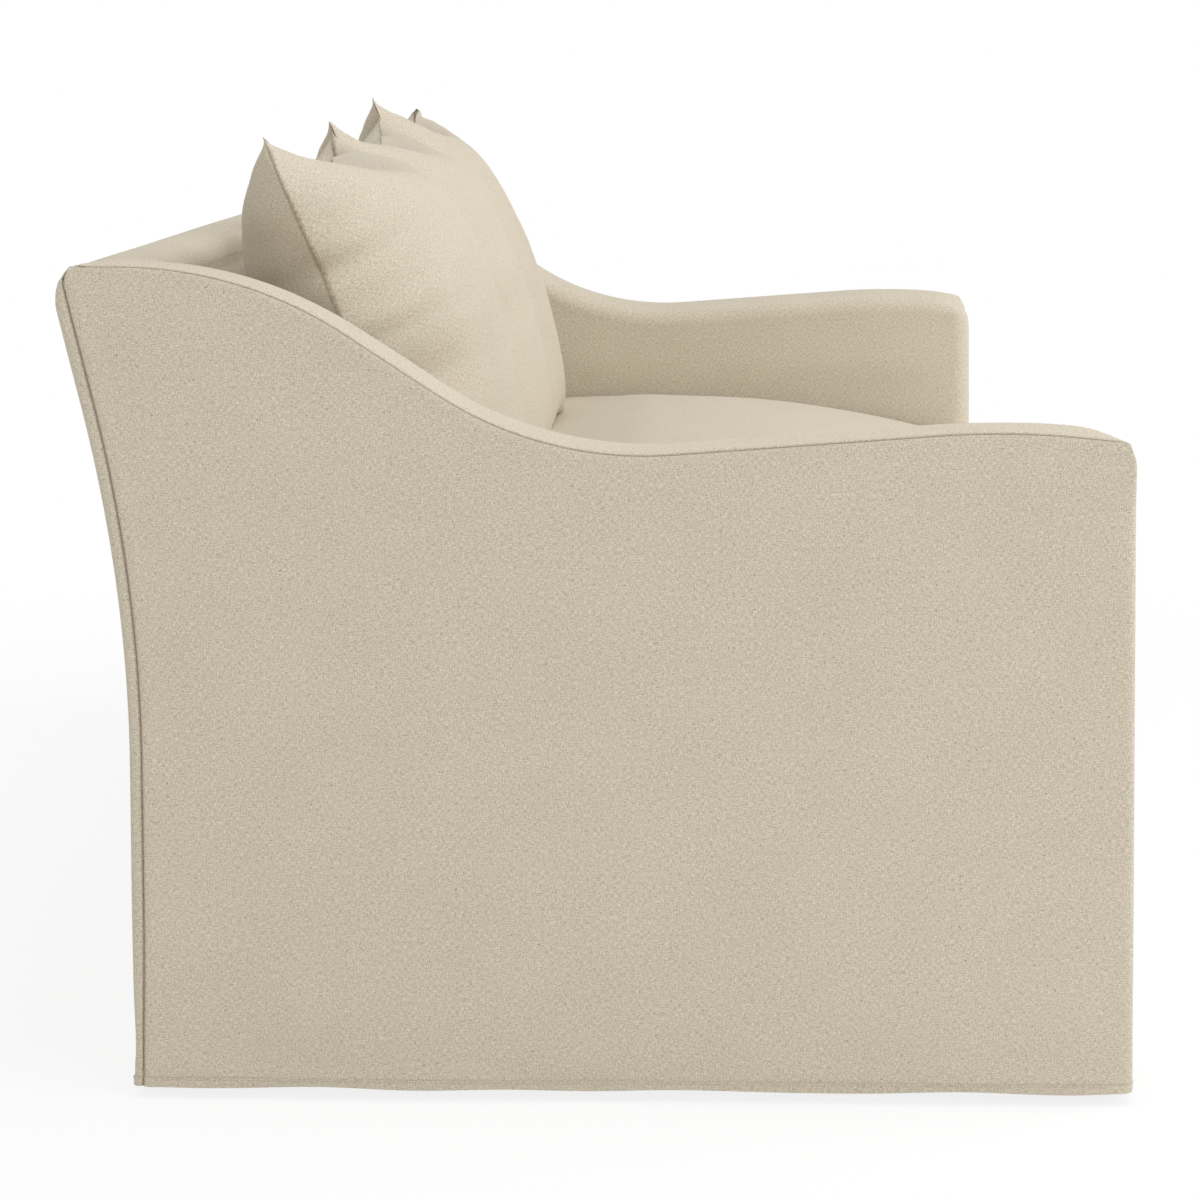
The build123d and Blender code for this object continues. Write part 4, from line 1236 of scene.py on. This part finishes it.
def puckers(pattern, seed):
    """Small folds that run in from the side and top seams of a cushion."""
    folds = np.zeros(pattern.shape[:2])
    for axis, strength in ((0, 1.0), (1, 0.45)):
        inward = PATTERN[axis] / 2 - np.abs(pattern[..., axis])
        place = pattern[..., 1 - axis, None] + 0.13 * np.sign(pattern[..., axis, None])
        fold = ripple(place, PUCKER_LENGTH, seed + axis) * inward / PUCKER_RISE
        folds += strength * cushion_sizes().pucker * fold * np.exp(-inward / PUCKER_REACH)
    return folds


def blunted(pattern, tuck):
    """How far each point is drawn in at the four corners, tuck telling a corner that is folded in."""
    drawn = np.zeros(pattern.shape[:2])
    for across, up in ((-1, -1), (-1, 1), (1, -1), (1, 1)):
        depth, reach = FOLDED_CORNER if tuck == (across, up) else PLAIN_CORNER
        away = np.linalg.norm(pattern - PATTERN * (across, up) / 2, axis=-1)
        drawn += depth * np.exp(-(away / reach) ** 2)
    return drawn


def profile_at(height, profile):
    """Distance from the seam line at each height, as a smooth curve through the profile."""
    heights, stands = np.transpose(profile)
    reach = np.minimum(PROFILE_EASE, np.minimum(height - heights[0], heights[-1] - height))
    shifts = np.linspace(-1, 1, 9)
    return np.mean([np.interp(height + shift * reach, heights, stands) for shift in shifts], axis=0)


def stand_pillow(sheet, pattern, widest, facing, side):
    """Places a filled sheet that faces front or rear: leaned on the back, its foot tucked into the seat."""
    centre, turn = CUSHION_CENTRES[side], CUSHION_TURNS[side]
    profile, softness = (FRONT_PROFILE, FRONT_SOFTNESS) if facing > 0 else (REAR_PROFILE, REAR_SOFTNESS)
    half = CUSHION_CENTRES["right"] / 2 * CUSHION_SPREAD
    drawn = blunted(pattern, CUSHION_TUCKS[side])
    a, b = sheet[..., 0] / widest[0] * (1 - drawn), sheet[..., 1] / widest[1] * (1 - drawn)
    across = 2 * pattern[..., 0] / PATTERN[0]
    even = a[:, :1] + (a[:, -1:] - a[:, :1]) * (across + 1) / 2
    a += softness * (even - a)
    x = centre + half * a
    v = -FOOT_TUCK + (SEAM_LENGTH + FOOT_TUCK) * (b + 1) / 2 + turn * a
    middle = np.abs(sheet[:, sheet.shape[1] // 2, 2])
    share = np.minimum(np.abs(sheet[..., 2]) / np.maximum(middle, 1e-4)[:, None], FULLEST)
    share += softness * (np.maximum(0, 1 - across ** 2) ** 0.7 - share)
    share[0] = share[-1] = 0
    height = -FOOT_TUCK + (SEAM_LENGTH + FOOT_TUCK) * (pattern[..., 1] / PATTERN[1] + 0.5)
    slump, above = CUSHION_SLUMPS[side]
    stand = profile_at(height, profile) * (1 - (facing > 0) * slump * np.maximum(0, height - above))
    v += CUSHION_RISES[side] * np.clip(v / SEAM_LENGTH, 0, 1)
    w = facing * (stand * share + puckers(pattern, FOLD_SEEDS[side]) + 0.25 * drawn * share)
    y = SEAM_FOOT[0] + v * math.sin(SEAM_LEAN) - w * math.cos(SEAM_LEAN)
    z = SEAM_FOOT[1] + v * math.cos(SEAM_LEAN) + w * math.sin(SEAM_LEAN)
    return seat_for_pillow(np.stack((x, y, z), -1), centre)


class SOFA_OT_back_cushions(bpy.types.Operator):
    """Make the three loose back cushions, sewn flat and filled by simulation"""

    bl_idname = "sofa.back_cushions"
    bl_label = "Back cushions"

    def execute(self, context):
        for number, (side, centre) in enumerate(CUSHION_CENTRES.items()):
            flat, front, rear = filled_pillow(FILL_SEEDS[side])
            widest = np.abs(front).max(axis=(0, 1))
            u, v = (spaced(span, PILLOW_STEP) for span in PATTERN)
            pattern = refined(flat, u, v)
            edge = (PATTERN / 2 - np.abs(pattern)).min(axis=-1)
            grids = []
            for sheet, facing, cut_at in ((front, 1, 1.0), (rear, -1, 3.0)):
                placed = stand_pillow(refined(sheet, u, v), pattern, widest, facing, side)
                grids.append((placed, pattern + cut_at + 4 * number, edge))
            middle = (centre, *STANDING_MIDDLE)
            obj = cloth_object(f"back_cushion_linen_{side}", grids, lambda g: g - middle)
            nodes = [f"back_cushion_{side}", f"back_cushion_core_{side}"]
            finish_cushion(obj, f"cushion_{side}", nodes, depth=0.0)
        return {"FINISHED"}


# Hem stitches, this far below the hem's upper edge
STITCH_DROP = 0.0015


def hem_line(grid, height):
    """Points of a panel at a height above its hem, read along each column."""
    columns = []
    for column in np.moveaxis(grid, 1, 0):
        order = np.argsort(column[:, 2])
        columns.append([np.interp(HEM_Z + height, column[order, 2], column[order, k]) for k in range(3)])
    return np.array(columns)


def stitch_paths():
    """Lines that the hem stitches follow, just proud of the cloth, without the columns beside the seams."""
    sizes = cover_sizes()
    height = sizes.hem_depth - STITCH_DROP
    lift = 0.25 * sizes.thread
    side = hem_line(outside_arm_panel()[0], height)[12:-10] - (lift, 0, 0)
    arm_front = hem_line(arm_strip()[0][:60], height)[8:-9] - (0, lift, 0)
    back = hem_line(outside_back_panel()[0], height)[10:-10] + (0, lift, 0)
    apron = hem_line(apron_grid()[0][:40], height)[1:-1] - (0, lift, 0)
    flipped = np.array((-1, 1, 1))
    return [side, side * flipped, arm_front, arm_front * flipped, back, apron]


def stitch_tree(material):
    """Geometry Nodes tree that lays a row of stitches along each line."""
    tree = bpy.data.node_groups.new("Hem stitches", "GeometryNodeTree")
    face = tree.interface
    face.new_socket("Geometry", in_out="INPUT", socket_type="NodeSocketGeometry")
    for name in ("Stitch", "Pitch", "Thread"):
        face.new_socket(name, in_out="INPUT", socket_type="NodeSocketFloat")
    face.new_socket("Geometry", in_out="OUTPUT", socket_type="NodeSocketGeometry")
    sizes = node(tree, "NodeGroupInput")
    line = node(tree, "GeometryNodeMeshToCurve", {"Mesh": sizes.outputs["Geometry"]})
    places = node(tree, "GeometryNodeCurveToPoints",
                  {"Curve": line.outputs[0], "Length": sizes.outputs["Pitch"]}, mode="LENGTH")
    radius = node(tree, "ShaderNodeMath", {0: sizes.outputs["Thread"], 1: 0.5}, operation="MULTIPLY")
    stitch = node(tree, "GeometryNodeMeshCylinder", {
        "Vertices": 6, "Radius": radius.outputs[0], "Depth": sizes.outputs["Stitch"]})
    turn = node(tree, "FunctionNodeAlignRotationToVector", {"Vector": places.outputs["Tangent"]}, axis="Z")
    size = node(tree, "FunctionNodeRandomValue", {"Min": (0.9, 0.9, 0.85), "Max": (1.1, 1.1, 1.1), "Seed": 5},
                data_type="FLOAT_VECTOR")
    copies = node(tree, "GeometryNodeInstanceOnPoints", {
        "Points": places.outputs["Points"], "Instance": stitch.outputs["Mesh"],
        "Rotation": turn.outputs[0], "Scale": size.outputs[0]})
    real = node(tree, "GeometryNodeRealizeInstances", {"Geometry": copies.outputs[0]})
    dressed = node(tree, "GeometryNodeSetMaterial", {"Geometry": real.outputs[0], "Material": material})
    node(tree, "NodeGroupOutput", {"Geometry": dressed.outputs[0]})
    return tree


class SOFA_OT_hem_stitches(bpy.types.Operator):
    """Sew the hem of the slipcover with a row of stitches"""

    bl_idname = "sofa.hem_stitches"
    bl_label = "Hem stitches"

    def execute(self, context):
        sizes = cover_sizes()
        points, edges = [], []
        for path in stitch_paths():
            edges += [(len(points) + k, len(points) + k + 1) for k in range(len(path) - 1)]
            points += path.tolist()
        mesh = bpy.data.meshes.new("hem_stitch_lines")
        mesh.from_pydata(points, edges, [])
        guide = linked("hem_stitch_lines", mesh)
        thread = woven("Hem thread", tuple(0.82 * c for c in colours().linen), 0.0006)
        rows = guide.modifiers.new("Stitches", "NODES")
        rows.node_group = stitch_tree(thread)
        values = {"Stitch": sizes.stitch_length, "Pitch": sizes.stitch_gap, "Thread": sizes.thread}
        for socket in rows.node_group.interface.items_tree:
            if socket.in_out == "INPUT" and socket.name in values:
                rows[socket.identifier] = values[socket.name]
        made = guide.evaluated_get(context.evaluated_depsgraph_get())
        sewn = linked("hem_stitches", bpy.data.meshes.new_from_object(made))
        bpy.data.objects.remove(guide)
        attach(sewn, "frame")
        return {"FINISHED"}


# Frame finishes

class SOFA_OT_frame_finishes(bpy.types.Operator):
    """Finish the frame, feet, springs and straps that the cloth covers"""

    bl_idname = "sofa.frame_finishes"
    bl_label = "Frame finishes"

    def execute(self, context):
        tones = colours()
        ply = tuple(1.25 * c for c in tones.hardwood)
        finishes = {
            "plywood": timber("Birch plywood", ply, 0.7, 2),
            "frame_wood": timber("Planed hardwood", tones.hardwood, 0.62, 0),
            "stained_wood": timber("Stained foot wood", tones.stain, 0.38, 2),
            "spring_steel": plain_finish("Drawn spring steel", (0.36, 0.36, 0.37), 0.38, 1.0),
            "glide_plastic": plain_finish("Nylon glide", (0.10, 0.10, 0.10), 0.5, 0.0),
            "webbing": woven("Jute webbing", (0.42, 0.30, 0.17), 0.0025),
            "wadding": woven("Polyester wadding", (0.78, 0.77, 0.74), 0.0040),
            "foam": woven("Cushion foam", (0.80, 0.74, 0.55), 0.0030),
            "lining": woven("Calico lining", tones.lining, 0.0012),
            "linen": woven("Plain linen", tones.linen, 0.0015),
        }
        for part in frame["record"]["subparts"]:
            mesh = frame["nodes"][part["node"]].data
            mesh.materials.clear()
            mesh.materials.append(finishes[part["material_slot"]])
        return {"FINISHED"}


# Studio

CAMERA_AT = (-4.318218, -0.088468, 0.997378)
CAMERA_YAW = 0.02736
CAMERA_PITCH = 0.15294
CAMERA_LENS = 103.336
SENSOR_WIDTH = 36.0
# Each lamp's place, size and power
LAMPS = {
    "Key": ((0.9, -4.5, 3.5), 3.2, 106.0),
    "Top": ((-1.6, -1.4, 5.4), 3.0, 72.0),
    "Side": ((-3.4, -2.8, 1.9), 2.4, 18.0),
    "Fill": ((-8.5, -2.0, 4.2), 5.0, 66.0),
    "Back": ((-2.5, 4.5, 3.2), 3.6, 24.0),
}
AIM = Vector((0.0, 0.0, 0.45))
FLOOR_HALF = 30.0
AMBIENT = 0.60
WHITE = (1.0, 1.0, 1.0, 1.0)
# Share of white paper that the floor shows beside the sofa, rising to all of it between two distances
PAPER_SHARE = 0.85
PAPER_FROM = (1.3, 2.6)


def show_paper(tree, surface, paper, share, output):
    """Shows a share of white paper on a surface to the camera, reflections and clear glass."""
    path = node(tree, "ShaderNodeLightPath")
    seen = math_of(tree, "MAXIMUM", path.outputs["Is Camera Ray"], path.outputs["Is Glossy Ray"])
    seen = math_of(tree, "MAXIMUM", seen, path.outputs["Is Transmission Ray"])
    white = node(tree, paper, {"Color": WHITE, "Strength": 1.0})
    mixed = node(tree, "ShaderNodeMixShader", {
        0: times(tree, seen, share), 1: surface.outputs[0], 2: white.outputs[0]})
    tree.links.new(mixed.outputs[0], tree.nodes[output].inputs["Surface"])


def floor_material():
    """White floor that keeps the sofa's shadow close by and turns to plain paper further off."""
    material, tree, shader = start_material("White floor", 0.95)
    shader.inputs["Base Color"].default_value = (0.93, 0.93, 0.93, 1.0)
    shader.inputs["Specular IOR Level"].default_value = 0.0
    place = node(tree, "ShaderNodeTexCoord").outputs["Object"]
    away = node(tree, "ShaderNodeVectorMath", {0: place}, operation="LENGTH").outputs["Value"]
    further = times(tree, between(tree, away, *PAPER_FROM), 1 - PAPER_SHARE)
    share = math_of(tree, "ADD", further, PAPER_SHARE)
    show_paper(tree, shader, "ShaderNodeEmission", share, "Material Output")
    return material


def white_room(scene):
    """Even soft light from all round, white where the camera sees it."""
    scene.world = bpy.data.worlds.new("White room")
    scene.world.use_nodes = True
    tree = scene.world.node_tree
    soft = tree.nodes["Background"]
    soft.inputs["Color"].default_value = WHITE
    soft.inputs["Strength"].default_value = AMBIENT
    show_paper(tree, soft, "ShaderNodeBackground", 1.0, "World Output")


class SOFA_OT_studio(bpy.types.Operator):
    """Set up the floor, the soft light and the camera"""

    bl_idname = "sofa.studio"
    bl_label = "Studio"

    def execute(self, context):
        scene = context.scene
        scene.view_settings.view_transform = "Standard"
        corners = FLOOR_HALF * np.array(((-1, -1, 0), (1, -1, 0), (1, 1, 0), (-1, 1, 0)))
        floor = plain_object("floor", corners, [(0, 1, 2, 3)])
        floor.data.materials.append(floor_material())
        white_room(scene)
        for name, (place, size, power) in LAMPS.items():
            lamp = bpy.data.lights.new(name, "AREA")
            lamp.shape = "DISK"
            lamp.size, lamp.energy = size, power
            obj = linked(name, lamp)
            obj.location = place
            obj.rotation_euler = (AIM - Vector(place)).to_track_quat("-Z", "Y").to_euler()
        camera = bpy.data.cameras.new("Camera")
        camera.lens, camera.sensor_width = CAMERA_LENS, SENSOR_WIDTH
        view = linked("Camera", camera)
        view.location = CAMERA_AT
        level = math.cos(CAMERA_PITCH)
        ahead = Vector((math.cos(CAMERA_YAW) * level, math.sin(CAMERA_YAW) * level, -math.sin(CAMERA_PITCH)))
        view.rotation_euler = ahead.to_track_quat("-Z", "Y").to_euler()
        scene.camera = view
        return {"FINISHED"}


class SOFA_PT_panel(bpy.types.Panel):
    """Sidebar panel that makes the sofa piece by piece"""

    bl_idname = "SOFA_PT_panel"
    bl_label = "Slipcovered sofa"
    bl_space_type = "VIEW_3D"
    bl_region_type = "UI"
    bl_category = "Sofa"

    def draw(self, context):
        for operator in OPERATORS:
            self.layout.operator(operator.bl_idname)


OPERATORS = (
    SOFA_OT_studio, SOFA_OT_outside_arms, SOFA_OT_arm_bands, SOFA_OT_outside_back, SOFA_OT_inside_back,
    SOFA_OT_apron_and_linings, SOFA_OT_seat_cushion, SOFA_OT_back_cushions, SOFA_OT_hem_stitches,
    SOFA_OT_frame_finishes,
)
CLASSES = (SofaCoverSizes, SofaCushionSizes, SofaColours, *OPERATORS, SOFA_PT_panel)


def register():
    for kind in CLASSES:
        bpy.utils.register_class(kind)
    bpy.types.Scene.sofa_cover = PointerProperty(type=SofaCoverSizes)
    bpy.types.Scene.sofa_cushions = PointerProperty(type=SofaCushionSizes)
    bpy.types.Scene.sofa_colours = PointerProperty(type=SofaColours)


def unregister():
    del bpy.types.Scene.sofa_cover, bpy.types.Scene.sofa_cushions, bpy.types.Scene.sofa_colours
    for kind in reversed(CLASSES):
        bpy.utils.unregister_class(kind)


def main():
    register()
    bpy.ops.sofa.studio()
    bpy.ops.sofa.frame_finishes()
    bpy.ops.sofa.outside_arms()
    bpy.ops.sofa.arm_bands()
    bpy.ops.sofa.outside_back()
    bpy.ops.sofa.inside_back()
    bpy.ops.sofa.apron_and_linings()
    bpy.ops.sofa.seat_cushion()
    bpy.ops.sofa.back_cushions()
    bpy.ops.sofa.hem_stitches()


if __name__ == "__main__":
    main()
